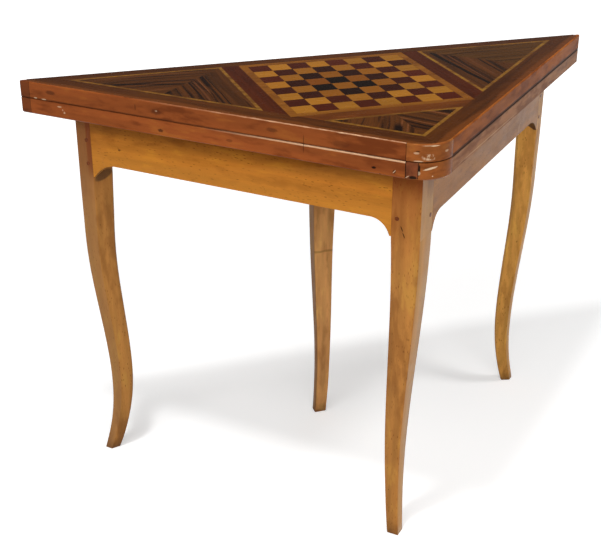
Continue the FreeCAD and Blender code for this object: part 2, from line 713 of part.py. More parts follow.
def corner_tenon(side, extra="0"):
    """The tenon at a board's end in the left leg."""
    return tenon(side, f"shoulder - tenon_reach - {extra}",
                 f"tenon_reach + {extra} + shoulder_slope*board_thick")


def front_tenon(extra="0"):
    """The tenon of the left apron in the front leg."""
    return tenon(APRON, "apron_length - front_post - tenon_setback", f"tenon_setback + front_tenon + {extra}")


def pegs(side, along, depths, grow="0"):
    """Pegs, or their holes, through a leg and the tenon in it, at depths below the top of the frame."""
    return [side.peg(along, f"frame_top - {depth}", grow) for depth in depths]


LEFT_PEGS = ("shoulder - peg_inset", ("peg_top", "(peg_top + peg_pitch)"))
FRONT_PEG = ("apron_length - front_post + peg_inset", ("front_peg_top",))


def legs():
    """Three fixed legs with their mortises and pegs."""
    left = leg("side", side_plan, "2*side_half", "frame_top")
    left.Placement.Rotation = FreeCAD.Rotation(FreeCAD.Vector(0, 0, 1), -22.5)
    move(left, "-corner_half", "-back_inset")
    slots = [corner_tenon(APRON, "mortise_clear"), corner_tenon(RAIL, "mortise_clear")]
    slots += pegs(APRON, *LEFT_PEGS, "peg_clear") + pegs(RAIL, *LEFT_PEGS, "peg_clear")
    left_leg = node("left_leg", cut(left, slots))
    node("right_leg", mirrored(left_leg))
    front = leg("front", front_plan, "front_post", "frame_top")
    front.Placement.Rotation = FreeCAD.Rotation(FreeCAD.Vector(0, 0, 1), 90)
    move(front, "0", "-frame_reach")
    slot = join([front_tenon("mortise_clear")] + pegs(APRON, *FRONT_PEG, "peg_clear"))
    node("front_leg", cut(front, [slot, mirrored(slot)]))
    left_pegs = pegs(APRON, *LEFT_PEGS) + pegs(RAIL, *LEFT_PEGS) + pegs(APRON, *FRONT_PEG)
    node("tenon_pegs", group(left_pegs + [mirrored(peg) for peg in left_pegs]))


# ---------------------------------------------------------------- frame

def frame():
    """Aprons, back rails, tray guides, runners, stop rail and glue blocks."""
    near = "shoulder + bracket_land + bracket_side"
    far = "apron_length - front_post - bracket_land - bracket_front"
    slope = "shoulder + shoulder_slope*board_thick"
    end = "apron_length - front_post"
    apron = APRON.board([("shoulder", "0"), (end, "0"), (end, "board_thick"), (slope, "board_thick")],
                        "bracket_foot", "frame_top", "Apron")
    cutting = ("board_thick + 2", "bracket_drop + 1")
    hollow = [APRON.block(near, "-1", "bracket_foot - 1", f"{far} - ({near})", *cutting),
              APRON.round_rod("side_radius_under", near, "frame_foot - side_radius_under"),
              APRON.round_rod("front_radius_under", far, "frame_foot - front_radius_under")]
    bores = pegs(APRON, *LEFT_PEGS, "peg_clear") + pegs(APRON, *FRONT_PEG, "peg_clear")
    left_apron = cut(cut(join([apron, corner_tenon(APRON), front_tenon()]), hollow), bores)
    node("left_apron", left_apron)
    node("right_apron", mirrored(left_apron))

    rail_end = "corner_half - (guide_face)"
    rail = RAIL.board([("shoulder", "0"), (rail_end, "0"), (rail_end, "board_thick"), (slope, "board_thick")],
                      "bracket_foot", "frame_top", "BackRail")
    hollow = [RAIL.block(near, "-1", "bracket_foot - 1", f"{rail_end} - ({near}) + 1", *cutting),
              RAIL.round_rod("side_radius_under", near, "frame_foot - side_radius_under")]
    left_rail = cut(cut(join([rail, corner_tenon(RAIL)]), hollow), pegs(RAIL, *LEFT_PEGS, "peg_clear"))
    node("left_back_rail", left_rail)
    node("right_back_rail", mirrored(left_rail))

    outside = "(guide_face + guide_thick)"
    guide = leaf_plate([("-guide_face", "board_back"), (f"-{outside}", "board_back"),
                        (f"-{outside}", f"{outside} - inside_reach"),
                        ("-guide_face", "guide_face - inside_reach")], "frame_foot", "frame_top", "Guide")
    node("left_guide", guide)
    node("right_guide", mirrored(guide))
    inner = "(guide_face - runner_width)"
    runner = leaf_plate([("-guide_face", "board_back"), (f"-{inner}", "board_back"),
                         (f"-{inner}", f"{inner} - inside_reach"),
                         ("-guide_face", "guide_face - inside_reach")],
                        "frame_foot", "frame_foot + runner_depth", "Runner")
    node("left_runner", runner)
    node("right_runner", mirrored(runner))
    node("stop_rail", box(f"-{inner}", "stop_back - stop_width", "frame_foot", f"2*{inner}",
                          "stop_width", "runner_depth"))

    blocks = [glue_block(APRON, "block_first"), glue_block(APRON, "block_second"),
              glue_block(RAIL, "block_first")]
    node("glue_blocks", group(blocks + [mirrored(block) for block in blocks]))


def glue_block(side, along):
    """A triangular block in the corner between a board and the lower leaf."""
    body = doc.addObject("PartDesign::Body", "GlueBlock")
    face = f"{side.inward}*board_thick"
    corners = [(face, "frame_top"), (face, "frame_top - block_size"),
               (f"{face} + {side.inward}*block_size", "frame_top")]
    pad = body.newObject("PartDesign::Pad", "Length")
    pad.Profile = outline(body, corners, along, "YZ_Plane")
    bind(pad, Length="block_length")
    body.Placement.Rotation = side.rotation()
    return move(body, *side.place("0", "0"))


# ---------------------------------------------------------------- carriage

def slide_tenon(sign, extra="0"):
    """The tenon of half of the tray front in the sliding leg."""
    x = f"slide_width/2 - tenon_reach - {extra}" if sign > 0 else "-slide_width/2 - tenon_setback"
    return box(x, "-back_inset - tenon_setback - tenon_thick", "frame_foot + tenon_shoulder",
               f"tenon_reach + tenon_setback + {extra}", "tenon_thick",
               "frame_depth - tray_clear - 2*tenon_shoulder")


def carriage():
    """The leg that slides out, with the tray behind it that holds the pieces and carries the leaf."""
    post = leg("slide", slide_plan, "slide_width", "tray_top")
    post.Placement.Rotation = FreeCAD.Rotation(FreeCAD.Vector(0, 0, 1), -90)
    move(post, "0", "-back_inset")
    slots = [slide_tenon(1, "mortise_clear"), mirrored(slide_tenon(1, "mortise_clear"))]
    node("back_leg", cut(post, slots))
    half = "(tray_width/2)"
    front = join([box("slide_width/2", "board_back", "frame_foot", f"{half} - slide_width/2", "board_thick",
                      "frame_depth - tray_clear"), slide_tenon(1)])
    node("tray_front_right", front)
    node("tray_front_left", mirrored(front))
    length = "(board_back - (tray_end))"
    side = box(f"{half} - tray_side", "tray_end", "tray_foot", "tray_side", length, "tray_top - (tray_foot)")
    node("tray_right_side", side)
    node("tray_left_side", mirrored(side))
    inner = f"({half} - tray_side)"
    node("tray_end_board", box(f"-{inner}", "tray_end", "tray_foot", f"2*{inner}",
                               "tray_side", "tray_top - (tray_foot)"))
    behind = "(-back_inset - slide_depth)"
    bottom = box(f"-{inner}", "tray_end + tray_side", "tray_foot + tray_rebate", f"2*{inner}",
                 f"{behind} - (tray_end) - tray_side", "tray_bottom")
    node("tray_bottom_board", bottom)
    node("stop_lug", box("-lug_length/2", "tray_end", "frame_foot + lug_clear", "lug_length", "stop_width",
                         "runner_depth + slide_clear - lug_clear"))


# ---------------------------------------------------------------- build and export

lower_leaf()
upper_leaf()
hinges()
panels()
chess_board()
bands()
legs()
frame()
carriage()
doc.recompute()

faults = [thing.Label for thing in doc.Objects if {"Invalid", "Error"} & set(thing.State)]
faults += [label for label, thing in nodes.items() if thing.Shape.isNull() or not thing.Shape.isValid()]
if faults:
    raise RuntimeError(f"these objects failed: {faults}")

os.makedirs("parts", exist_ok=True)
for label, thing in nodes.items():
    thing.Shape.exportStep(f"parts/{label}.step")
print(f"{len(nodes)} sub-parts written")
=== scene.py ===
import math

import bpy
import numpy as np
from bpy.props import FloatProperty, FloatVectorProperty, PointerProperty
from mathutils import Matrix, Vector


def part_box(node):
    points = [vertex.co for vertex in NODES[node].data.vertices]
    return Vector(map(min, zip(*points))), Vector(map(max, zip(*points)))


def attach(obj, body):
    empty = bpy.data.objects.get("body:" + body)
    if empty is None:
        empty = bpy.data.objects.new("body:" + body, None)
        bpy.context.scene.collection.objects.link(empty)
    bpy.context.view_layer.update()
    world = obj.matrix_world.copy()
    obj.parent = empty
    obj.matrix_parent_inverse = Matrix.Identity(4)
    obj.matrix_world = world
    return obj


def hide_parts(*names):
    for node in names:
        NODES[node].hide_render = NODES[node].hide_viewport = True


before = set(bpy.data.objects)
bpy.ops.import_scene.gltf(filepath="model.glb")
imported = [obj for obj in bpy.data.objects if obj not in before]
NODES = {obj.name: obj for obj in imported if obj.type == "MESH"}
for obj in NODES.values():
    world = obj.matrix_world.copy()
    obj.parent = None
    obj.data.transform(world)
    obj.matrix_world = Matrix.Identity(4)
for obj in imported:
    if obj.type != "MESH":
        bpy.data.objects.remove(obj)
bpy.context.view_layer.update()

bl_info = {
    "name": "Folding chess table",
    "version": (1, 0, 0),
    "blender": (4, 5, 0),
    "location": "View3D > Sidebar > Chess table",
    "description": "Finishes a three-cornered folding table with an inlaid chess board",
    "category": "Object",
}

# Places taken from the frame, in metres.
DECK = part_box("upper_corner_block")[1][2]
LOWER_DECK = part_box("lower_hinge_rail")[1][2]
UPPER_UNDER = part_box("upper_hinge_rail")[0][2]
FRAME_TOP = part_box("lower_hinge_rail")[0][2]
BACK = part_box("upper_hinge_rail")[1][1]
BOARD_LOW, BOARD_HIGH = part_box("dark_squares")
SQUARE = (BOARD_HIGH[0] - BOARD_LOW[0])/8
SEAM_HEIGHT = (LOWER_DECK + UPPER_UNDER)/2
# A leaf's depth to the sharp point that its corner block rounds off, and how far that is in front of y = 0.
SHARP_DEPTH = 0.535
EDGE_REACH = SHARP_DEPTH - BACK
# Where pieces end along a leaf's edge, measured from that point.
BLOCK_RADIUS = 0.05
BLOCK_END = 0.052
PATCH_END = 0.033
POINT_END = 0.7322
# Where the left apron meets its leg.
POST_SHOWN = 0.0185
APRON_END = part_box("left_leg")[0][0] + POST_SHOWN
# Hinge screws, and the slot, the fall to the rim and the cone of one of their heads.
SCREW_RADIUS = 0.0028
HINGE_MIDDLE = 0.330
SCREW_STEP = 0.020
SCREW_INSET = 0.0137
SCREW_SUNK = 0.0001
SLOT_DEPTH = 0.0006
RIM_FALL = 0.00025
CONE_DEPTH = 0.0015
# How far the cloth waves, and how much thinner it is than its place in the leaf.
CLOTH_WAVE = 0.00012
CLOTH_SLACK = 0.0003
# How far the short edges of a leaf are turned from x.
EDGE_TURN = math.radians(45)


# ---------------------------------------------------------------- sizes and colours

def tint(name, colour, text):
    """A colour that a user may change, as it is seen."""
    return FloatVectorProperty(name=name, description=text, default=colour, subtype="COLOR_GAMMA", min=0,
                               max=1)


class TableWoods(bpy.types.PropertyGroup):
    """Colours of the woods, the cloth and the metal."""
    edge: tint("Edge wood", (0.53, 0.275, 0.13), "Fruitwood of the leaves' edges")
    corner: tint("Corner wood", (0.56, 0.315, 0.15), "Fruitwood of the corner blocks")
    apron: tint("Aprons", (0.76, 0.475, 0.17), "Honey-coloured wood of the aprons")
    leg: tint("Legs", (0.69, 0.452, 0.222), "Honey-coloured wood of the legs")
    repair: tint("Repair", (0.45, 0.235, 0.14), "Walnut let into the lower corner")
    peg: tint("Pegs", (0.47, 0.22, 0.09), "End grain of the tenon pegs")
    plain: tint("Inside wood", (0.62, 0.47, 0.29), "Unpolished wood out of sight")
    dark_square: tint("Dark squares", (0.265, 0.095, 0.035), "Dark squares of the board")
    light_square: tint("Light squares", (0.6, 0.39, 0.12), "Light squares of the board")
    border: tint("Board border", (0.5, 0.3, 0.09), "Light border round the board")
    band: tint("Bands", (0.3, 0.155, 0.05), "Walnut bands")
    sapwood: tint("Band edges", (0.42, 0.225, 0.085), "Reddish outer half of the bands along the edges")
    red_band: tint("Red bands", (0.275, 0.11, 0.035), "Bands beside the board")
    striped: tint("Striped walnut", (0.312, 0.171, 0.06), "Light figure of the corner panels")
    streak: tint("Walnut streaks", (0.1, 0.045, 0.025), "Dark streaks of the corner panels")
    string: tint("Stringing", (0.5, 0.335, 0.12), "Light lines round the panels")
    cloth: tint("Playing cloth", (0.16, 0.32, 0.2), "Green baize")
    brass: tint("Brass", (0.78, 0.6, 0.3), "Hinges and screws")
    steel: tint("Steel", (0.55, 0.54, 0.52), "Hinge pins")


class TableWear(bpy.types.PropertyGroup):
    """How polished and how worn the table is, and how strong the painted highlight along the left arrises is.
    """
    polish: FloatProperty(name="Polish", description="Strength of the reflection of the wax", default=0.13,
                          min=0, max=1)
    arris: FloatProperty(name="Eased arrises", description="Rounding of the sawn arrises",
                         default=0.0009, unit="LENGTH")
    # This strength sets the pale arris line, which is partly wear and partly a painted highlight.
    rubbed_and_highlighted: FloatProperty(name="Rubbed and highlighted edges", description="How pale the edges are rubbed", default=0.8,
                          min=0, max=1)
    flecks: FloatProperty(name="Flecks", description="Strength of the small dark flecks", default=0.7,
                          min=0, max=1)


class TableStudio(bpy.types.PropertyGroup):
    """Camera and lights."""
    lens: FloatProperty(name="Lens", description="Focal length on a 36 mm wide picture", default=68.05,
                        unit="CAMERA")
    key: FloatProperty(name="Key light", description="Power of the lamp overhead", default=66.0, unit="POWER")
    left: FloatProperty(name="Left light", description="Power of the broad lamp at the left", default=58.0,
                        unit="POWER")
    right: FloatProperty(name="Right light", description="Power of the lamp at the right", default=44.0,
                         unit="POWER")
    front: FloatProperty(name="Front light", description="Power of the broad lamp in front", default=46.0,
                         unit="POWER")
    room: FloatProperty(name="Room light", description="Strength of the light from all round", default=0.12,
                        min=0)
    floor: FloatProperty(name="Floor", description="Radius of the floor", default=14.0, unit="LENGTH")


# ---------------------------------------------------------------- node graphs

def linear(colour):
    """A colour as light, from the colour as it is seen."""
    return (*(c/12.92 if c <= 0.04045 else ((c + 0.055)/1.055)**2.4 for c in colour), 1.0)


def toned(colour, shares):
    """A colour with its red, green and blue multiplied."""
    return tuple(c*share for c, share in zip(colour, shares))


class Field:
    """A number that varies over a surface. Arithmetic with it adds nodes to its graph."""

    def __init__(self, graph, socket):
        self.graph = graph
        self.socket = socket

    def apply(self, operation, *others):
        return self.graph.field("ShaderNodeMath", self, *others, operation=operation)

    def __add__(self, other):
        return self.apply("ADD", other)

    def __sub__(self, other):
        return self.apply("SUBTRACT", other)

    def __rsub__(self, other):
        return self.apply("MULTIPLY", -1.0) + other

    def __mul__(self, other):
        return self.apply("MULTIPLY", other)

    __radd__ = __add__
    __rmul__ = __mul__

    def between(self, low, high):
        """0 below low, 1 above high and a soft step from one to the other. High may be the lower one."""
        return self.graph.field("ShaderNodeMapRange", self, low, high, 0.0, 1.0,
                                interpolation_type="SMOOTHSTEP")


class Graph:
    """The nodes of a material or of the world."""

    def __init__(self, tree):
        self.tree = tree
        tree.nodes.clear()

    def feed(self, socket, value):
        """Links a field or a socket, and sets a constant."""
        if isinstance(value, Field):
            value = value.socket
        if isinstance(value, bpy.types.NodeSocket):
            self.tree.links.new(value, socket)
        else:
            socket.default_value = value

    def node(self, kind, *values, **named):
        """A new node. Values feed its sockets in order, and names with a capital are sockets too."""
        node = self.tree.nodes.new(kind)
        for name, value in named.items():
            if name[0].isupper():
                self.feed(node.inputs[name.replace("_", " ")], value)
            else:
                setattr(node, name, value)
        for socket, value in zip(node.inputs, values):
            self.feed(socket, value)
        return node

    def socket(self, kind, *values, **named):
        return self.node(kind, *values, **named).outputs[0]

    def field(self, kind, *values, **named):
        return Field(self, self.socket(kind, *values, **named))

    def vector(self, operation, *values):
        """Arithmetic on places."""
        return self.socket("ShaderNodeVectorMath", *values, operation=operation)

    def split(self, vector):
        """The three fields of a place."""
        return [Field(self, socket) for socket in self.node("ShaderNodeSeparateXYZ", vector).outputs]

    def coordinates(self, kind):
        return self.node("ShaderNodeTexCoord").outputs[kind]

    def background_rays(self):
        """1 for what the camera sees straight or in a reflection, 0 for light that falls on the table."""
        rays = self.node("ShaderNodeLightPath").outputs
        seen = Field(self, rays["Is Camera Ray"])
        for name in ("Is Glossy Ray", "Is Transmission Ray"):
            seen = seen.apply("MAXIMUM", rays[name])
        return seen


class Finish(Graph):
    """One finish made of nodes, read from Object coordinates in metres."""

    def __init__(self, name):
        self.material = bpy.data.materials.new(name)
        self.material.use_nodes = True
        super().__init__(self.material.node_tree)
        self.place = self.coordinates("Object")
        self.x, self.y, self.z = self.split(self.place)
        # The place as the waves of the grain bend it.
        self.bent = self.place

    def turned(self, angle, upright=False, shift=0.0):
        """Object coordinates turned so that the grain runs along their x."""
        turn = (0.0, -math.pi/2, 0.0) if upright else (0.0, 0.0, angle)
        moved = (shift, 0.37*shift, 0.61*shift)
        return self.socket("ShaderNodeMapping", vector_type="TEXTURE", Vector=self.place, Location=moved,
                           Rotation=turn)

    def scaled(self, vector, scale):
        """A place times three numbers, or times one number each way."""
        return self.vector("MULTIPLY", vector, np.broadcast_to(scale, 3).tolist())

    def pushed(self, vector, x=0.0, y=0.0, z=0.0):
        """A place moved by fields."""
        return self.vector("ADD", vector, self.socket("ShaderNodeCombineXYZ", x, y, z))

    def noise(self, vector, scale, detail=3.0, roughness=0.5):
        return self.field("ShaderNodeTexNoise", Vector=self.scaled(vector, scale), Scale=1.0, Detail=detail,
                          Roughness=roughness)

    def specks(self, vector, scale, size):
        """1 inside small scattered spots."""
        apart = self.field("ShaderNodeTexVoronoi", Vector=self.scaled(vector, scale), Scale=1.0)
        return apart.between(size, size*0.4)

    def spot(self, *axes, core=0.25, rough=0.0):
        """1 at a place and 0 past its reach. Each axis is a field, its middle and its reach."""
        total = 0.0
        for field, middle, reach in axes:
            off = (field - middle)*(1/reach)
            total = off*off + total
        if rough:
            total = (self.noise(self.place, 400.0) - 0.5)*rough + total
        return total.between(1.0, core)

    def ramp(self, field, stops):
        """Colours along a field."""
        node = self.node("ShaderNodeValToRGB")
        self.feed(node.inputs[0], field)
        band = node.color_ramp.elements
        while len(band) < len(stops):
            band.new(0.5)
        for element, (position, colour) in zip(band, stops):
            element.position = position
            element.color = colour
        return node.outputs[0]

    def mix(self, first, second, share):
        """The second colour over the first one."""
        node = self.node("ShaderNodeMix", data_type="RGBA")
        for place, value in ((0, share), (6, first), (7, second)):
            self.feed(node.inputs[place], value)
        return node.outputs[2]

    def relief(self, height, depth):
        return self.socket("ShaderNodeBump", Strength=1.0, Distance=depth, Height=height)

    def principled(self, colour, roughness, relief=None, **sockets):
        """Ends the graph in one principled shader."""
        if relief is not None:
            sockets["Normal"] = relief
        return self.end(self.socket("ShaderNodeBsdfPrincipled", Base_Color=colour, Roughness=roughness,
                                    **sockets))

    def end(self, shader):
        self.node("ShaderNodeOutputMaterial", shader)
        return self.material


# ---------------------------------------------------------------- woods

def shades(colour, spread):
    """A dark, a middle and a light shade of one wood."""
    return [linear(min(1.0, c) for c in toned(colour, [k]*3)) for k in (1 - spread, 1, 1 + 0.7*spread)]


WAX_TINT = (1.0, 0.62, 0.32, 1.0)
VENEER = {"polish": 0.011, "rough": 0.26, "depth": 0.00006}


def polished(finish, colour, figure, polish, rough=0.36, depth=0.00022):
    """Fine pores, roughness and relief of a waxed wood."""
    fine = finish.noise(finish.bent, (28.0, 1300.0, 1300.0), 2.0, 0.6)
    colour = finish.mix(colour, linear((0.16, 0.08, 0.04)), fine.between(0.6, 0.8)*0.25)
    roughness = finish.noise(finish.place, 34.0)*0.22 + (rough - 0.11)
    relief = finish.relief(fine*0.5 + figure*0.5, depth)
    return finish.principled(colour, roughness, relief, Specular_IOR_Level=polish, Specular_Tint=WAX_TINT)


def solid_wood(name, colour, angle=0.0, upright=False, seed=0.0, spread=0.3, along=3.0, across=60.0,
               marks=None, blotch=0.5, polish=0.25, **looks):
    """A plain wood: figure along the waving grain, slow blotches and any marks of its own."""
    finish = Finish(name)
    straight = finish.turned(angle, upright, seed)
    wave = (finish.noise(straight, (2.3, 9.0, 9.0), 2.0) - 0.5)*0.012
    finish.bent = finish.pushed(straight, 0.0, wave, wave)
    figure = finish.noise(finish.bent, (along, across, across), 5.0, 0.55)
    dark, middle, light = shades(colour, spread)
    paint = finish.ramp(figure, [(0.28, dark), (0.5, middle), (0.72, light)])
    around = finish.turned(angle, upright, seed + 3.0)
    slow = finish.noise(around, (5.0, 18.0, 18.0))
    quick = finish.noise(around, (26.0, 90.0, 90.0))
    cloud = slow*0.55 + quick*0.45
    paint = finish.mix(paint, linear(toned(colour, (0.72, 0.64, 0.6))), cloud.between(0.49, 0.62)*blotch)
    paint = finish.mix(paint, linear(toned(colour, (1.14, 1.24, 1.15))), cloud.between(0.47, 0.36)*blotch)
    if marks:
        paint = marks(finish, paint)
    return polished(finish, paint, figure, polish, **looks)


def coat(names, material):
    """Gives CAD nodes a finish."""
    for name in names:
        mesh = NODES[name].data
        mesh.materials.clear()
        mesh.materials.append(material)


def ease(names, width):
    """Eases the sawn arrises of CAD nodes."""
    for name in names:
        weld = NODES[name].modifiers.new("Weld", "WELD")
        weld.merge_threshold = 0.00001
        bevel = NODES[name].modifiers.new("Arrises", "BEVEL")
        bevel.width = width
        bevel.segments = 2
        bevel.limit_method = "ANGLE"
        bevel.angle_limit = math.radians(32)
        bevel.harden_normals = True


# ---------------------------------------------------------------- operators

def edge_place(finish, side):
    """How far a point is along a leaf's edge from the square corner, and how far inside the edge."""
    forward = finish.y + EDGE_REACH
    return (forward + finish.x*side)*math.sqrt(0.5), (forward - finish.x*side)*math.sqrt(0.5)


def joint(field, middle, reach=0.0007):
    """A thin line where two pieces meet."""
    return (field - middle).apply("ABSOLUTE").between(reach, reach*0.3)


def facing(finish, axis):
    """How far a surface faces along x, y or z, from -1 to 1."""
    return finish.split(finish.coordinates("Normal"))[axis]


def away(x, y):
    """Distance from where both fields are 0."""
    return (x*x + y*y).apply("SQRT")


def dabbed(finish, paint, field, spots, rough):
    """Small marks, laid out as the tables below say."""
    for middle, height, wide, tall, colour, strength, *slope in spots:
        lean = slope[0] if slope else 0.0
        rising = finish.z - field*lean if slope else finish.z
        mark = finish.spot((field, middle, wide), (rising, height - middle*lean, tall), rough=rough)
        paint = finish.mix(paint, colour, mark*strength)
    return paint


CRACK = linear((0.1, 0.05, 0.035))
# A pale colour for chips and scratches, also used for painted glints on the corner blocks.
CHIP_AND_GLINT = linear((0.88, 0.76, 0.62))
# A pale colour for the top arris, partly wear and partly a painted highlight.
RUBBED_AND_HIGHLIGHT = linear((0.88, 0.71, 0.56))
# A dark brown for grime, also used for painted shade under the leaf, at the seam and at the tops of the legs.
GRIME_AND_SHADE = linear((0.24, 0.12, 0.07))

# Small marks. Each is its middle, height, two reaches, colour, strength, and its slope if it slants. The
# middle is along the edge on a left lipping, and in x on a corner block.
LEFT_SPOTS = {
    "upper": ((0.688, 0.727, 0.011, 0.0045, GRIME_AND_SHADE, 0.6), (0.4784, 0.7245, 0.011, 0.006, GRIME_AND_SHADE, 0.45),
              (0.4784, 0.7258, 0.0026, 0.0018, CHIP_AND_GLINT, 0.3), (0.5183, 0.7265, 0.0012, 0.006, CRACK, 0.6),
              (0.7201, 0.7139, 0.0042, 0.0012, CHIP_AND_GLINT, 0.6), (0.7027, 0.7137, 0.0056, 0.0011, CHIP_AND_GLINT, 0.65),
              (0.27, 0.7262, 0.012, 0.004, GRIME_AND_SHADE, 0.5), (0.155, 0.722, 0.018, 0.006, GRIME_AND_SHADE, 0.35)),
    "lower": ((0.671, 0.7052, 0.0055, 0.0014, CHIP_AND_GLINT, 0.55), (0.6617, 0.6962, 0.0022, 0.0022, CHIP_AND_GLINT, 0.55),
              (0.665, 0.7003, 0.0014, 0.002, CHIP_AND_GLINT, 0.4), (0.4718, 0.6946, 0.0062, 0.0034, GRIME_AND_SHADE, 0.8),
              (0.1013, 0.6947, 0.0044, 0.0023, CRACK, 1.0), (0.069, 0.6937, 0.003, 0.0038, GRIME_AND_SHADE, 0.8),
              (0.0911, 0.6863, 0.0022, 0.0014, CRACK, 0.7), (0.345, 0.6975, 0.007, 0.003, GRIME_AND_SHADE, 0.4)),
}
# On the corner blocks, the four pale spots of the upper block at heights from 0.7263 to 0.7376, and the long
# slanting one of the lower block, are painted glints.
CORNER_SPOTS = {
    "upper": ((-0.0246, 0.7265, 0.0045, 0.002, CHIP_AND_GLINT, 0.45), (0.0221, 0.7263, 0.004, 0.0022, CHIP_AND_GLINT, 0.5),
              (-0.0065, 0.7376, 0.014, 0.0012, CHIP_AND_GLINT, 0.35), (0.002, 0.7369, 0.0085, 0.001, CHIP_AND_GLINT, 0.9),
              (-0.0215, 0.7145, 0.008, 0.0012, CHIP_AND_GLINT, 0.6), (-0.0228, 0.7293, 0.0035, 0.0014, CRACK, 0.7)),
    "lower": ((-0.004, 0.7032, 0.0125, 0.002, CHIP_AND_GLINT, 0.95, 0.2), (-0.0007, 0.6913, 0.0013, 0.0011, CHIP_AND_GLINT, 0.9),
              (-0.0205, 0.6963, 0.0027, 0.0036, CHIP_AND_GLINT, 0.5), (0.012, 0.6975, 0.01, 0.004, GRIME_AND_SHADE, 0.2)),
}


class EdgeWood(bpy.types.Operator):
    """Lippings and corner blocks of fruitwood, knotted and chipped, pale along the top arris from wear and a
    painted highlight, with painted shade at the seam and painted glints on the corners
    """
    bl_idname = "table.edge_wood"
    bl_label = "Leaf edges"

    def execute(self, context):
        woods, wear = context.scene.table_woods, context.scene.table_wear

        def seam(finish, uneven):
            """Distance from the seam between the leaves, a little uneven."""
            return (finish.z - SEAM_HEIGHT).apply("ABSOLUTE") + uneven*0.001

        def outer_face(inset):
            """1 on the outer face and 0 inside, so that the opened leaf has none of the marks there."""
            return inset.between(0.008, 0.0045)

        def left_edge(leaf):
            """Marks of a left lipping: a pale arris line, partly wear and partly a painted highlight, grime
            and painted shade in the groove at the seam, joint lines and its own knots.
            """
            deck, low, high, reach = {
                "upper": (DECK, 0.16, 0.56, 0.0025),
                "lower": (LOWER_DECK, 0.2, 0.42, 0.0042),
            }[leaf]

            def marks(finish, inner):
                along, inset = edge_place(finish, -1)
                uneven = finish.noise(finish.place, (70.0, 70.0, 300.0))
                # Grime and painted shade in the groove at the seam.
                paint = finish.mix(inner, GRIME_AND_SHADE, seam(finish, uneven).between(0.003, 0.0014)*0.6)
                # A pale line along the top arris, partly wear and partly a painted highlight, that fades out
                # along the edge.
                below = deck - finish.z
                line = (inset*0.8 + below + uneven*0.0012).between(reach, reach*0.65)
                if leaf == "lower":
                    line = line*(inset - uneven*0.001).between(0.0012, 0.0004)
                paint = finish.mix(paint, RUBBED_AND_HIGHLIGHT, line*along.between(high, low)*wear.rubbed_and_highlighted)
                paint = finish.mix(paint, CRACK, joint(along, BLOCK_END)*0.8)
                point = along.between(POINT_END, POINT_END + 0.001)
                paint = finish.mix(paint, linear((0.3, 0.15, 0.09)), point*0.55)
                paint = finish.mix(paint, CRACK, joint(along, POINT_END)*0.8)
                tick = finish.spot((along, 0.2164, 0.0009), (finish.z, SEAM_HEIGHT, 0.016), core=0.6)
                paint = finish.mix(paint, CRACK, tick*0.55)
                paint = dabbed(finish, paint, along, LEFT_SPOTS[leaf], 0.9)
                if leaf == "lower":
                    height, slant = 0.6937, 0.8
                    slit = finish.spot((along + finish.z*slant, 0.069 + height*slant, 0.0009),
                                       (finish.z, height, 0.003))
                    paint = finish.mix(paint, CHIP_AND_GLINT, slit*0.8)
                return finish.mix(inner, paint, outer_face(inset))
            return marks

        def right_edge(leaf):
            """Marks of a right lipping: a dark band of painted shade in the groove at the seam and a pale
            line low down. Its inside keeps mostly the plain edge colour, without the painted sheen of its
            outer face.
            """
            def marks(finish, paint):
                along, inset = edge_place(finish, 1)
                # The inside takes mostly the plain edge colour, without the painted sheen.
                inner = finish.mix(paint, linear(woods.edge), 0.7)
                uneven = finish.noise(finish.place, (70.0, 70.0, 300.0))
                # Painted shade in the groove at the seam.
                dark = seam(finish, uneven).between(0.0048, 0.0024)
                paint = finish.mix(paint, linear((0.15, 0.075, 0.04)), dark*0.85)
                paint = finish.mix(paint, CRACK, joint(along, BLOCK_END)*0.8)
                if leaf == "lower":
                    pale = finish.spot((along, 0.22, 0.17), (finish.z, 0.6905, 0.0012))
                    paint = finish.mix(paint, CHIP_AND_GLINT, pale*0.35)
                return finish.mix(inner, paint, outer_face(inset))
            return marks

        # The right lippings are painted paler and greyer than the left ones, the lower one most, as a painted
        # sheen; their own gloss is kept low.
        edges = (("upper", "left", 0.7, woods.edge), ("lower", "left", 4.1, toned(woods.edge, [1.06]*3)),
                 ("upper", "right", 0.7, toned(woods.edge, (1.14, 1.22, 1.08))),
                 ("lower", "right", 4.1, (0.65, 0.45, 0.31)))
        sides = {"left": (-1, 0.5, left_edge), "right": (1, 0.1, right_edge)}
        for leaf, name, seed, colour in edges:
            side, gloss, marks = sides[name]
            coat([f"{leaf}_{name}_lipping"], solid_wood(
                f"Fruitwood {leaf} {name}", colour, side*EDGE_TURN, seed=seed + side, spread=0.14,
                across=45.0, marks=marks(leaf), blotch=0.75, polish=wear.polish*gloss))

        def corner(leaf):
            """Marks of a corner block: joint lines, pale worn patches, cracks, a dark line of painted shade
            at the seam and painted glints among its small marks.
            """
            def marks(finish, inner):
                left, right = (edge_place(finish, side)[0] for side in (-1, 1))
                paint = finish.mix(inner, CRACK, (joint(left, BLOCK_END) + joint(right, BLOCK_END))*0.9)
                cloud = finish.noise(finish.place, 160.0, 4.0, 0.6)
                if leaf == "upper":
                    worn = finish.spot((finish.x, -0.0065, 0.013), (finish.z, 0.72, 0.0062), core=0.0)
                    paint = finish.mix(paint, CHIP_AND_GLINT, worn*cloud.between(0.44, 0.62)*0.85)
                else:
                    across = (left, PATCH_END - 0.0006, 0.0024)
                    hollow = finish.spot(across, (finish.z, 0.701, 0.0105), rough=0.8)
                    paint = finish.mix(paint, CRACK, hollow)
                # Painted shade: a dark line in the gap at the seam.
                paint = finish.mix(paint, CRACK, seam(finish, cloud).between(0.002, 0.0011)*0.8)
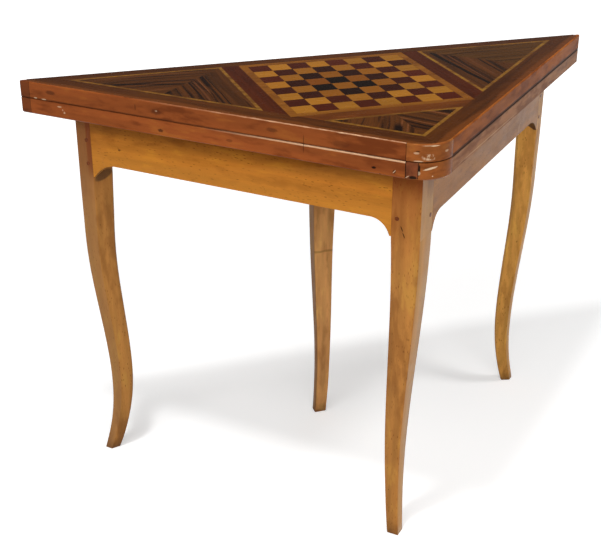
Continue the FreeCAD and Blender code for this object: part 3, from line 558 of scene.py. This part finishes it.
                # The small marks include painted glints.
                paint = dabbed(finish, paint, finish.x, CORNER_SPOTS[leaf], 0.7)
                middle = finish.y + (EDGE_REACH - BLOCK_RADIUS*math.sqrt(2))
                return finish.mix(inner, paint, outer_face(BLOCK_RADIUS - away(finish.x, middle)))
            return marks

        for leaf, seed in (("upper", 1.3), ("lower", 2.9)):
            coat([f"{leaf}_corner_block"], solid_wood(
                f"Fruitwood {leaf} corner", woods.corner, seed=seed, spread=0.2, along=12.0, across=50.0,
                marks=corner(leaf), rough=0.22, polish=0.06, blotch=0.7))

        def mended(finish, paint):
            """Marks of the repair: a hole, a pale splinter and its two joints."""
            left = edge_place(finish, -1)[0]
            hole = finish.spot((left, 0.0405, 0.0075), (finish.z, 0.6885, 0.0042), rough=0.6)
            paint = finish.mix(paint, CRACK, hole)
            middle, height, slant = 0.0485, 0.6893, 0.7
            across = (left*slant + finish.z, middle*slant + height, 0.0009)
            splinter = finish.spot(across, (left, middle, 0.0035))
            paint = finish.mix(paint, CHIP_AND_GLINT, splinter*0.75)
            return finish.mix(paint, CRACK, joint(left, BLOCK_END, 0.0016) + joint(left, PATCH_END, 0.0014))

        coat(["lower_corner_patch"], solid_wood("Repair walnut", woods.repair, EDGE_TURN, seed=6.0,
                                                marks=mended, polish=wear.polish))
        return {"FINISHED"}


class FrameWood(bpy.types.Operator):
    """Aprons, legs, pegs and the rough inside of the frame"""
    bl_idname = "table.frame_wood"
    bl_label = "Frame and legs"

    def execute(self, context):
        woods, wear = context.scene.table_woods, context.scene.table_wear

        def flecked(finish, paint):
            """Short dark flecks along the grain and a few worm holes."""
            flecks = finish.specks(finish.bent, (85.0, 300.0, 300.0), 0.27)
            where = finish.noise(finish.place, (14.0, 14.0, 22.0), 2.0).between(0.4, 0.6)*0.8 + 0.2
            paint = finish.mix(paint, linear((0.36, 0.17, 0.05)), flecks*where*wear.flecks)
            worm = finish.specks(finish.place, 38.0, 0.045)
            return finish.mix(paint, CRACK, worm*wear.flecks)

        def flecked_and_shaded_below(finish, paint):
            """Flecked, and painted shade on the sawn undersides, the faces that look down."""
            paint = flecked(finish, paint)
            return finish.mix(paint, linear((0.2, 0.15, 0.11)), facing(finish, 2).between(-0.15, -0.6)*0.8)

        def left_face(finish, paint):
            """Painted shade under the leaf and where the bracket ends, painted light that makes it paler and
            more golden low down, and a dark dot.
            """
            paint = flecked_and_shaded_below(finish, paint)
            # A dark dot, and a larger ragged patch of painted shade where the bracket ends.
            spots = finish.spot((finish.x, -0.3859, 0.0022), (finish.z, 0.6315, 0.0022))
            spots = finish.spot((finish.x, -0.4078, 0.01), (finish.z, 0.5874, 0.006), rough=1.0)*0.5 + spots
            paint = finish.mix(paint, GRIME_AND_SHADE, spots*0.8)
            # Painted light: paler and more golden low down.
            paint = finish.mix(paint, linear((0.84, 0.56, 0.22)), finish.z.between(0.64, 0.605)*0.4)
            # Painted shade under the leaf, with an uneven lower limit.
            uneven = finish.noise(finish.place, (30.0, 30.0, 60.0))*0.02
            under = (finish.z + uneven).between(FRAME_TOP - 0.035, FRAME_TOP + 0.005)
            return finish.mix(paint, GRIME_AND_SHADE, under*0.5)

        def right_face(finish, paint):
            """One pale scratch."""
            scratch = finish.spot((finish.x, 0.341, 0.0012), (finish.z, 0.61, 0.01))
            return finish.mix(flecked_and_shaded_below(finish, paint), CHIP_AND_GLINT, scratch*0.4)

        # The right apron is painted paler and bluer than the left one: a painted sheen.
        aprons = (("left_apron", -EDGE_TURN, 1.1, woods.apron, left_face),
                  ("right_apron", EDGE_TURN, 2.3, toned(woods.apron, (0.88, 0.92, 1.2)), right_face),
                  ("left_back_rail", 0.0, 3.7, woods.apron, flecked),
                  ("right_back_rail", 0.0, 5.2, woods.apron, flecked),
                  ("tray_front_left", 0.0, 6.4, woods.apron, flecked),
                  ("tray_front_right", 0.0, 7.1, woods.apron, flecked))
        for name, angle, seed, colour, marks in aprons:
            coat([name], solid_wood(f"Honey {name}", colour, angle, seed=seed, spread=0.1, across=70.0,
                                    marks=marks, polish=wear.polish*0.8, blotch=0.4))

        def feet(finish, paint):
            """Soiled where the feet meet the floor."""
            uneven = finish.noise(finish.place, 80.0)*0.03
            return finish.mix(paint, GRIME_AND_SHADE, (finish.z + uneven).between(0.045, 0.01)*0.6)

        def left_side(finish):
            """1 where a leg faces left."""
            return facing(finish, 0).between(-0.3, -0.75)

        def front_leg(finish, paint):
            """Painted shade under the leaf and high on its left face, a painted sheen on its right face, worn
            pale with a painted highlight beside the front arris, and two small cuts.
            """
            paint = feet(finish, flecked(finish, paint))
            # Painted sheen: the right face paler.
            paint = finish.mix(paint, linear((0.8, 0.63, 0.43)), facing(finish, 0).between(0.3, 0.75)*0.4)
            # Painted shade under the leaf.
            shaded = finish.z.between(FRAME_TOP - 0.065, FRAME_TOP - 0.01)
            paint = finish.mix(paint, linear((0.4, 0.2, 0.09)), shaded*0.75)
            # Painted shade: the top of the left face redder and darker.
            upper_left = facing(finish, 0).between(-0.3, -0.65)*finish.z.between(0.5, 0.64)
            paint = finish.mix(paint, linear((0.62, 0.24, 0.06)), upper_left*0.28)
            # Worn pale beside the front arris, with a painted highlight.
            rubbed_and_highlighted = finish.spot((finish.x, 0.007, 0.012), core=0.0)*finish.x.between(0.0, 0.002)
            paint = finish.mix(paint, linear((0.84, 0.62, 0.38)), rubbed_and_highlighted*0.45)
            slant = 0.3
            for x, height in ((-0.0215, 0.589), (-0.019, 0.579)):
                across = (finish.x + finish.z*slant, x + height*slant, 0.001)
                paint = finish.mix(paint, CRACK, finish.spot(across, (finish.z, height, 0.0055))*0.8)
            return paint

        def side_leg(finish, paint):
            """Painted sheen that makes the left side paler, and painted shade at the top under the frame."""
            paint = feet(finish, flecked(finish, paint))
            # Painted sheen on the faces that look left.
            paint = finish.mix(paint, linear((0.74, 0.57, 0.39)), left_side(finish)*0.35)
            # Painted shade at the top, under the frame.
            return finish.mix(paint, GRIME_AND_SHADE, finish.z.between(FRAME_TOP - 0.03, FRAME_TOP)*0.3)

        def left_leg(finish, paint):
            """Painted shade on its left side, redder towards the top, most of all beside the apron, and
            painted shade under the bracket.
            """
            paint = side_leg(finish, paint)
            # Painted shade on the faces that look left.
            paint = finish.mix(paint, linear((0.42, 0.23, 0.09)), left_side(finish)*0.3)
            strip = finish.spot((finish.x, APRON_END, 0.006))*finish.z.between(0.56, 0.6)
            red = finish.z.between(0.48, 0.66)*0.4 + strip*0.4
            paint = finish.mix(paint, linear((0.48, 0.2, 0.08)), red)
            # Painted shade on the leg under the bracket.
            rising = finish.z - finish.x*0.37
            under = finish.spot((finish.x, -0.4085, 0.019), (rising, 0.7251, 0.01), core=0.4)
            return finish.mix(paint, linear((0.26, 0.19, 0.14)), under*0.75)

        def back_leg(finish, paint):
            """Redder towards the foot, one line across and a left side darkened as painted shade."""
            red = finish.z.between(0.4, 0.15)
            paint = finish.mix(feet(finish, paint), linear((0.52, 0.24, 0.1)), red*0.15)
            uneven = finish.noise(finish.place, 60.0)*0.006
            line = finish.spot((finish.z + uneven, 0.3705, 0.0026))*facing(finish, 1).between(-0.3, -0.7)
            paint = finish.mix(paint, linear((0.3, 0.15, 0.07)), line*0.35)
            # Painted shade on the faces that look left.
            return finish.mix(paint, linear((0.42, 0.28, 0.17)), left_side(finish)*0.6)

        # The right and back legs are painted paler than the leg colour, and the back one bluer: painted light
        # in place of the shade of the top, and a painted sheen on the back leg.
        legs = (("left_leg", 1.9, (0.98, 1.03, 1.08), 0.8, left_leg),
                ("right_leg", 3.3, (1.2, 1.31, 1.3), 0.8, side_leg),
                ("front_leg", 4.8, (1.01, 1.04, 1.06), 0.8, front_leg),
                ("back_leg", 6.6, (1.23, 1.37, 1.7), 0.2, back_leg))
        for name, seed, shade, gloss, marks in legs:
            coat([name], solid_wood(f"Honey {name}", toned(woods.leg, shade), upright=True, seed=seed,
                                    spread=0.16, across=55.0, marks=marks, polish=wear.polish*gloss))

        def ringed(finish, paint):
            """Dark end grain."""
            rings = finish.noise(finish.place, 500.0).between(0.45, 0.65)
            return finish.mix(paint, GRIME_AND_SHADE, rings*0.6)

        coat(["tenon_pegs"], solid_wood("Peg wood", woods.peg, along=200.0, across=400.0, marks=ringed))
        lengthwise = ["lower_core", "upper_core", "stop_rail", "glue_blocks", "tray_end_board",
                      "tray_bottom_board", "stop_lug"]
        crosswise = ["left_guide", "right_guide", "left_runner", "right_runner", "tray_left_side",
                     "tray_right_side"]
        for angle, names in ((0.0, lengthwise), (math.pi/2, crosswise)):
            coat(names, solid_wood(f"Inside wood {angle:.0f}", woods.plain, angle, spread=0.2, rough=0.6,
                                   polish=0.1))
        coat(["lower_hinge_rail", "upper_hinge_rail"],
             solid_wood("Stained rail", toned(woods.edge, [0.86]*3), seed=8.8, spread=0.2, marks=flecked,
                        polish=wear.polish*0.5))
        ease([name for name, *_ in aprons + legs] + ["tray_left_side", "tray_right_side", "tray_end_board"],
             wear.arris)
        return {"FINISHED"}


class Marquetry(bpy.types.Operator):
    """Chess board, bands, stringing and striped corner panels"""
    bl_idname = "table.marquetry"
    bl_label = "Marquetry"

    def execute(self, context):
        woods = context.scene.table_woods

        def square_wood(name, colour, spread, deep, yellow):
            """One wood cut into squares: each has its own tone, and those round the middle are deeper."""
            finish = Finish(name)
            corner = finish.pushed(finish.place, -BOARD_LOW[0], -BOARD_LOW[1], -DECK)
            counted = finish.scaled(corner, (1/SQUARE, 1/SQUARE, 0.0))
            square = finish.vector("FLOOR", counted)
            own = finish.field("ShaderNodeTexWhiteNoise", Vector=square)
            moved = finish.pushed(finish.place, own*3.0, own*5.0, own)
            slow = finish.noise(moved, (9.0, 30.0, 9.0), 2.0) - 0.5
            finish.bent = finish.pushed(moved, 0.0, slow*0.01)
            figure = finish.noise(finish.bent, (8.0, 110.0, 110.0), 4.0, 0.6)
            dark, middle, light = shades(colour, spread)
            paint = finish.ramp(figure*0.7 + own*0.5 - 0.1, [(0.25, dark), (0.5, middle), (0.75, light)])
            column, row, _ = finish.split(square)
            centre = finish.spot((column, 3.05, 3.5), (row, 3.65, 3.5), core=0.05)
            paint = finish.mix(paint, linear(deep), centre*(own*0.8 + 0.4))
            near = (finish.x - finish.y).between(0.02, 0.2)
            paint = finish.mix(paint, linear(yellow), near*0.35)
            open_joint = finish.noise(finish.place, 60.0).between(0.42, 0.62)
            for within in finish.split(finish.vector("FRACTION", counted))[:2]:
                rim = (within - 0.5).apply("ABSOLUTE").between(0.48, 0.494)
                paint = finish.mix(paint, linear(woods.streak), rim*(open_joint*0.6 + 0.15))
            return polished(finish, paint, figure, **VENEER)

        coat(["dark_squares"], square_wood("Dark squares", woods.dark_square, 0.22, (0.085, 0.04, 0.02),
                                           (0.31, 0.1, 0.04)))
        coat(["light_squares"], square_wood("Light squares", woods.light_square, 0.1, (0.46, 0.25, 0.06),
                                            (0.64, 0.42, 0.12)))

        def sapwood(side):
            """The outer half of a band is redder and paler, with a wandering limit."""
            def marks(finish, paint):
                turned = finish.turned(side*EDGE_TURN, False, 8.0)
                wander = finish.noise(turned, (9.0, 30.0, 30.0), 2.0)*0.022
                outer = (edge_place(finish, side)[1] + wander).between(0.026, 0.019)
                return finish.mix(paint, linear(woods.sapwood), outer*0.8)
            return marks

        bands = (
            ("back_band", "Walnut back band", woods.band, 0.0, 1.0, {}),
            ("left_edge_band", "Walnut left band", woods.band, -EDGE_TURN, 2.0, {"marks": sapwood(-1)}),
            ("right_edge_band", "Walnut right band", woods.band, EDGE_TURN, 3.0, {"marks": sapwood(1)}),
            ("front_band", "Walnut front band", toned(woods.band, [1.3]*3), 0.0, 4.0, {}),
            ("side_bands", "Red bands", woods.red_band, math.pi/2, 5.0, {"across": 110.0}),
            ("board_border", "Border", woods.border, 0.0, 6.0, {"spread": 0.12, "across": 90.0}),
            ("stringing", "Stringing", woods.string, 0.0, 7.0, {"along": 120.0, "blotch": 0.8}))
        for node, name, colour, angle, seed, own in bands:
            kind = {"spread": 0.2, "across": 120.0, **VENEER, **own}
            coat([node], solid_wood(name, colour, angle, seed=seed, **kind))

        def striped(node, angle, seed, streaks, colour=woods.striped, share=0.0):
            """Walnut with streaks. Each is its middle across the grain, half width, the two ends along the
            grain, colour, strength, and its slope if it slants."""
            finish = Finish(f"Striped walnut {node}")
            along, across, _ = finish.split(finish.turned(angle))
            straight = finish.turned(angle, False, seed)
            slow = finish.noise(straight, (5.0, 12.0, 4.0), 2.0) - 0.5
            finish.bent = finish.pushed(straight, 0.0, slow*0.03)
            narrow = finish.noise(finish.bent, (5.0, 190.0, 1.0), 3.0, 0.6)
            wide = finish.noise(finish.bent, (2.2, 60.0, 1.0), 3.0, 0.55)
            dark, middle, light = shades(colour, 0.3)
            paint = finish.ramp(narrow*0.5 + wide*0.5, [(0.38, dark), (0.5, middle), (0.62, light)])
            natural = (wide*0.7 + narrow*0.3).between(0.53 - share, 0.61 - share)
            paint = finish.mix(paint, linear(woods.streak), natural*0.8)
            ragged = (narrow - 0.5)*0.006 + slow*0.01
            for middle, half, start, end, tone, strength, *slope in streaks:
                place = across + along*slope[0] if slope else across
                line = (place + ragged - middle).apply("ABSOLUTE").between(half, half*0.35)
                ends = along.between(start, start + 0.03)*along.between(end, end - 0.03)
                paint = finish.mix(paint, tone, line*ends*strength)
            coat([node], polished(finish, paint, narrow, **VENEER))

        black, pale = linear(woods.streak), linear((0.45, 0.26, 0.14))
        olive = toned(woods.striped, (1.02, 1.12, 1.0))
        striped("left_panel_back", 0.0, 1.2, [
            (0.0742, 0.0065, -0.41, -0.26, black, 0.9, 0.27), (0.153, 0.0018, -0.38, -0.26, black, 0.8),
            (0.162, 0.0016, -0.36, -0.27, pale, 0.5), (0.215, 0.004, -0.42, -0.22, pale, 0.35),
            (0.141, 0.0018, -0.35, -0.27, black, 0.6), (0.128, 0.0035, -0.35, -0.29, pale, 0.6)])
        striped("left_panel_side", math.pi/2, 2.4, [
            (0.212, 0.01, -0.06, 0.22, black, 0.4), (0.2275, 0.0018, -0.04, 0.2, black, 0.9),
            (0.238, 0.006, 0.1, 0.215, black, 0.95, 0.02), (0.235, 0.003, -0.04, 0.13, black, 0.75),
            (0.2445, 0.0016, 0.07, 0.18, pale, 0.9), (0.254, 0.0035, 0.03, 0.17, pale, 0.55),
            (0.263, 0.002, 0.02, 0.17, black, 0.8), (0.278, 0.0024, 0.04, 0.16, black, 0.85),
            (0.292, 0.0016, 0.06, 0.15, black, 0.7), (0.308, 0.0085, 0.08, 0.135, black, 1.0)], share=0.01)
        striped("right_panel_back", 0.0, 3.1, [
            (0.222, 0.0016, 0.21, 0.36, black, 0.55), (0.19, 0.0016, 0.24, 0.42, black, 0.45),
            (0.17, 0.0025, 0.25, 0.4, black, 0.4), (0.146, 0.003, 0.27, 0.38, black, 0.45)], olive)
        striped("right_panel_side", math.pi/2, 4.7, [
            (-0.2142, 0.0062, -0.03, 0.235, black, 1.0, -0.061), (-0.2225, 0.0022, 0.0, 0.2, pale, 0.5),
            (-0.236, 0.0025, 0.0, 0.19, black, 0.35), (-0.248, 0.004, 0.02, 0.19, pale, 0.4),
            (-0.264, 0.0028, 0.03, 0.17, black, 0.85), (-0.276, 0.007, 0.05, 0.165, black, 0.6)])
        striped("front_panel_left", math.radians(65), 5.5, [
            (-0.055, 0.0095, -0.215, -0.135, black, 1.0), (0.035, 0.0075, -0.22, -0.08, black, 1.0),
            (-0.0595, 0.0018, -0.17, -0.115, pale, 0.9), (-0.069, 0.002, -0.2, -0.12, pale, 0.7),
            (-0.075, 0.0025, -0.22, -0.1, black, 0.7), (-0.034, 0.006, -0.22, -0.1, black, 0.4)],
            toned(woods.striped, [1.05]*3))
        striped("front_panel_right", math.radians(-50), 6.9, [
            (-0.085, 0.0022, 0.07, 0.19, pale, 1.0), (-0.096, 0.005, 0.0, 0.3, black, 0.75),
            (-0.11, 0.006, 0.0, 0.3, black, 0.8), (-0.072, 0.006, 0.0, 0.3, black, 0.65),
            (-0.04, 0.003, 0.0, 0.3, black, 0.6), (-0.029, 0.0028, 0.0, 0.3, pale, 0.8),
            (-0.012, 0.009, 0.0, 0.3, black, 0.9)])
        return {"FINISHED"}


def surface(name, points):
    """A mesh through grids of points, one face between every four neighbours of a grid."""
    points = points.reshape(-1, *points.shape[-3:])
    index = np.arange(points[..., 0].size).reshape(points.shape[:3])
    faces = np.stack([index[:, :-1, :-1], index[:, :-1, 1:], index[:, 1:, 1:], index[:, 1:, :-1]], axis=-1)
    faces = faces.reshape(-1, 4)
    mesh = bpy.data.meshes.new(name)
    mesh.from_pydata(points.reshape(-1, 3).tolist(), [], faces.tolist())
    mesh.update()
    thing = bpy.data.objects.new(name, mesh)
    bpy.context.collection.objects.link(thing)
    return thing


class Cloth(bpy.types.Operator):
    """Green baize let into both leaves"""
    bl_idname = "table.cloth"
    bl_label = "Playing cloth"

    def execute(self, context):
        woods = context.scene.table_woods
        finish = Finish("Baize")
        fibres = finish.noise(finish.place, 900.0, 4.0, 0.7)
        faded = finish.noise(finish.place, 6.0)
        dark, middle, light = shades(woods.cloth, 0.35)
        paint = finish.ramp(fibres, [(0.3, dark), (0.5, middle), (0.7, light)])
        paint = finish.mix(paint, linear((0.3, 0.38, 0.22)), faded.between(0.45, 0.75)*0.35)
        relief = finish.relief(fibres, 0.0005)
        material = finish.principled(paint, 0.95, relief, Sheen_Weight=0.35, Sheen_Roughness=0.5,
                                     Specular_IOR_Level=0.15)
        for node, core, up in (("lower_baize", "lower_core", 1), ("upper_baize", "upper_core", -1)):
            low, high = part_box(node)
            width, depth, thick = (top - bottom for bottom, top in zip(low, high))
            # A triangle: v runs from the back edge to the front corner and u across the width left there,
            # and the product of two crossing sine waves makes it a little uneven.
            u, v = np.meshgrid(np.linspace(-1, 1, 161), np.linspace(0, 0.999, 81))
            x = u*width/2*(1 - v)
            y = high[1] - v*depth
            outer = high[2] if up > 0 else low[2]
            z = outer - up*CLOTH_WAVE*(1 + np.sin(260*x + 40*y)*np.sin(310*y - 90*x))
            thing = surface(f"{node}_cloth", np.stack([x, y, z], axis=-1)[:, ::-up])
            thing.data.materials.append(material)
            solid = thing.modifiers.new("Thickness", "SOLIDIFY")
            solid.thickness = thick - CLOTH_SLACK
            solid.offset = -1
            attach(thing, "frame" if up > 0 else "upper_leaf")
            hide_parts(node)
        return {"FINISHED"}


def screw_head(x, y, outer, up):
    """A slotted countersunk head. A square grid is drawn round into a disc: s and t are each shortened by
    the root of 1 less half the other's square. But for its slot the disc is flat, falling to the rim with
    the eighth power of the radius, and it folds back under itself as a shallow cone."""
    lines = np.array([-1, -0.9, -0.6, -0.3, -0.17, -0.15, 0.15, 0.17, 0.3, 0.6, 0.9, 1])
    s, t = np.meshgrid(lines, lines)
    across, along = s*np.sqrt(1 - t*t/2), t*np.sqrt(1 - s*s/2)
    radius = np.hypot(across, along)
    face = np.where(np.abs(t) < 0.16, -SLOT_DEPTH, -0.00004*radius**8)
    face = np.where(radius > 0.999, -RIM_FALL, face)
    cone = -RIM_FALL - CONE_DEPTH*(1 - radius)
    top, under = (np.stack([x + SCREW_RADIUS*across, y + SCREW_RADIUS*along, outer + up*depth], axis=-1)
                  for depth in (face, cone))
    return np.stack([top[:, ::up], under[:, ::-up]])


class Brass(bpy.types.Operator):
    """Hinge plates, pins and screws"""
    bl_idname = "table.brass"
    bl_label = "Brass"

    def execute(self, context):
        woods = context.scene.table_woods

        def metal(name, colour, stain, scale, limits, share, rough, depth, detail=4.0, brush=None):
            """A metal with stained patches, brushed one way or rough where it is stained."""
            finish = Finish(name)
            dull = finish.noise(finish.place, scale, detail)
            paint = finish.mix(linear(colour), linear(stain), dull.between(*limits)*share)
            relief = finish.relief(finish.noise(finish.place, brush) if brush else dull, depth)
            return finish.principled(paint, dull*0.3 + rough, relief, Metallic=1.0)

        coat(["fixed_hinge_plates", "moving_hinge_plates"],
             metal("Brass", woods.brass, (0.34, 0.24, 0.12), 90.0, (0.45, 0.75), 0.7, 0.25, 0.00004,
                   brush=(1500.0, 60.0, 60.0)))
        coat(["hinge_pins"], metal("Steel", woods.steel, (0.3, 0.2, 0.14), 300.0, (0.5, 0.7), 0.6, 0.25,
                                   0.00005))
        worn = metal("Screw brass", toned(woods.brass, [0.86]*3), (0.22, 0.15, 0.08), 700.0, (0.45, 0.7), 1.0,
                     0.2, 0.00003, detail=3.0)
        for name, body, up in (("fixed_plate_screws", "frame", 1), ("moving_plate_screws", "upper_leaf", -1)):
            outer = (LOWER_DECK if up > 0 else UPPER_UNDER) - up*SCREW_SUNK
            heads = [screw_head(side*HINGE_MIDDLE + step*SCREW_STEP, BACK - SCREW_INSET, outer, up)
                     for side in (-1, 1) for step in (-1, 0, 1)]
            thing = surface(name, np.concatenate(heads))
            thing.data.materials.append(worn)
            thing.modifiers.new("Merged", "WELD").merge_threshold = 1e-6
            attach(thing, body)
        return {"FINISHED"}


# The camera's place, and its turn round the table, its height angle and its roll in radians.
CAMERA_PLACE = (-0.65117, -1.66117, 1.26755)
CAMERA_TURN = (-0.31136, 0.44487, 0.0014)
# The lamps stand round this place at this distance, and the floor lies just under the feet.
LAMPS_CENTRE = Vector((0, 0, 0.6))
LAMPS_AWAY = 4.0
FLOOR_DROP = 0.0006


class Studio(bpy.types.Operator):
    """White floor, soft lamps and the camera"""
    bl_idname = "table.studio"
    bl_label = "Studio"

    def execute(self, context):
        studio = context.scene.table_studio
        scene = context.scene
        scene.view_settings.view_transform = "Standard"

        camera = bpy.data.cameras.new("Camera")
        camera.lens = studio.lens
        camera.sensor_width = 36.0
        camera.clip_end = 60.0
        seat = bpy.data.objects.new("Camera", camera)
        scene.collection.objects.link(seat)
        azimuth, elevation, roll = CAMERA_TURN
        level = math.cos(elevation)
        back = Vector((math.sin(azimuth)*level, -math.cos(azimuth)*level, math.sin(elevation)))
        right = Vector((0, 0, 1)).cross(back).normalized()
        up = back.cross(right)
        across = right*math.cos(roll) + up*math.sin(roll)
        over = up*math.cos(roll) - right*math.sin(roll)
        turn = Matrix((across, over, back)).transposed().to_4x4()
        seat.matrix_world = Matrix.Translation(CAMERA_PLACE) @ turn
        scene.camera = seat

        # The floor is a disc: u runs round it and v outwards.
        u, v = np.meshgrid(np.linspace(0, 2*math.pi, 65), [1e-6, 1.0])
        ring = np.stack([v*studio.floor*np.cos(u), v*studio.floor*np.sin(u), v*0.0 - FLOOR_DROP], axis=-1)
        floor = surface("floor", ring)
        floor.data.flip_normals()
        finish = Finish("White floor")
        diffuse = finish.socket("ShaderNodeBsdfDiffuse", Color=(0.8, 0.8, 0.8, 1))
        bright = (away(finish.x, finish.y).between(0.9, 3.0)*0.55 + 0.47)*finish.background_rays()
        glow = finish.socket("ShaderNodeEmission", Color=(1, 1, 1, 1), Strength=bright)
        floor.data.materials.append(finish.end(finish.socket("ShaderNodeAddShader", diffuse, glow)))

        world = bpy.data.worlds.new("Studio")
        scene.world = world
        world.use_nodes = True
        graph = Graph(world.node_tree)
        room = graph.socket("ShaderNodeBackground", Color=(1, 0.98, 0.95, 1), Strength=studio.room)
        # The ceiling is darker in reflections than the white that stands behind the table.
        height = graph.split(graph.coordinates("Object"))[2]
        ceiling = graph.field("ShaderNodeMapRange", height, 0.04, 0.26, 1.0, 0.08)
        straight = graph.node("ShaderNodeLightPath").outputs["Is Camera Ray"]
        strength = ceiling.apply("MAXIMUM", straight)
        white = graph.socket("ShaderNodeBackground", Color=(1, 1, 1, 1), Strength=strength)
        mixed = graph.socket("ShaderNodeMixShader", graph.background_rays(), room, white)
        graph.node("ShaderNodeOutputWorld", mixed)

        def lamp(name, towards, size, power):
            light = bpy.data.lights.new(name, "AREA")
            light.shape = "DISK"
            light.size = size
            light.energy = power
            thing = bpy.data.objects.new(name, light)
            scene.collection.objects.link(thing)
            direction = Vector(towards).normalized()
            thing.location = LAMPS_CENTRE + direction*LAMPS_AWAY
            thing.rotation_mode = "QUATERNION"
            thing.rotation_quaternion = direction.to_track_quat("Z", "Y")

        lamp("Key", (-0.27, -0.22, 0.93), 0.4, studio.key)
        lamp("Left", (-0.5, -0.5, 0.7), 2.6, studio.left)
        lamp("Right", (0.42, -0.15, 0.89), 0.7, studio.right)
        lamp("Front", (-0.1, -0.9, 0.38), 2.4, studio.front)
        return {"FINISHED"}


class TablePanel(bpy.types.Panel):
    """Lists the steps that finish the table"""
    bl_idname = "VIEW3D_PT_chess_table"
    bl_label = "Chess table"
    bl_space_type = "VIEW_3D"
    bl_region_type = "UI"
    bl_category = "Chess table"

    def draw(self, context):
        for step in STEPS:
            self.layout.operator(step.bl_idname)
        for group in GROUPS:
            for name in group.__annotations__:
                self.layout.prop(getattr(context.scene, GROUPS[group]), name)


STEPS = (Studio, EdgeWood, FrameWood, Marquetry, Cloth, Brass)
GROUPS = {TableWoods: "table_woods", TableWear: "table_wear", TableStudio: "table_studio"}


def register():
    for group, name in GROUPS.items():
        bpy.utils.register_class(group)
        setattr(bpy.types.Scene, name, PointerProperty(type=group))
    for kind in (*STEPS, TablePanel):
        bpy.utils.register_class(kind)


def unregister():
    for kind in (TablePanel, *reversed(STEPS)):
        bpy.utils.unregister_class(kind)
    for group, name in GROUPS.items():
        delattr(bpy.types.Scene, name)
        bpy.utils.unregister_class(group)


def main():
    register()
    bpy.ops.table.studio()
    bpy.ops.table.edge_wood()
    bpy.ops.table.frame_wood()
    bpy.ops.table.marquetry()
    bpy.ops.table.cloth()
    bpy.ops.table.brass()


if __name__ == "__main__":
    main()
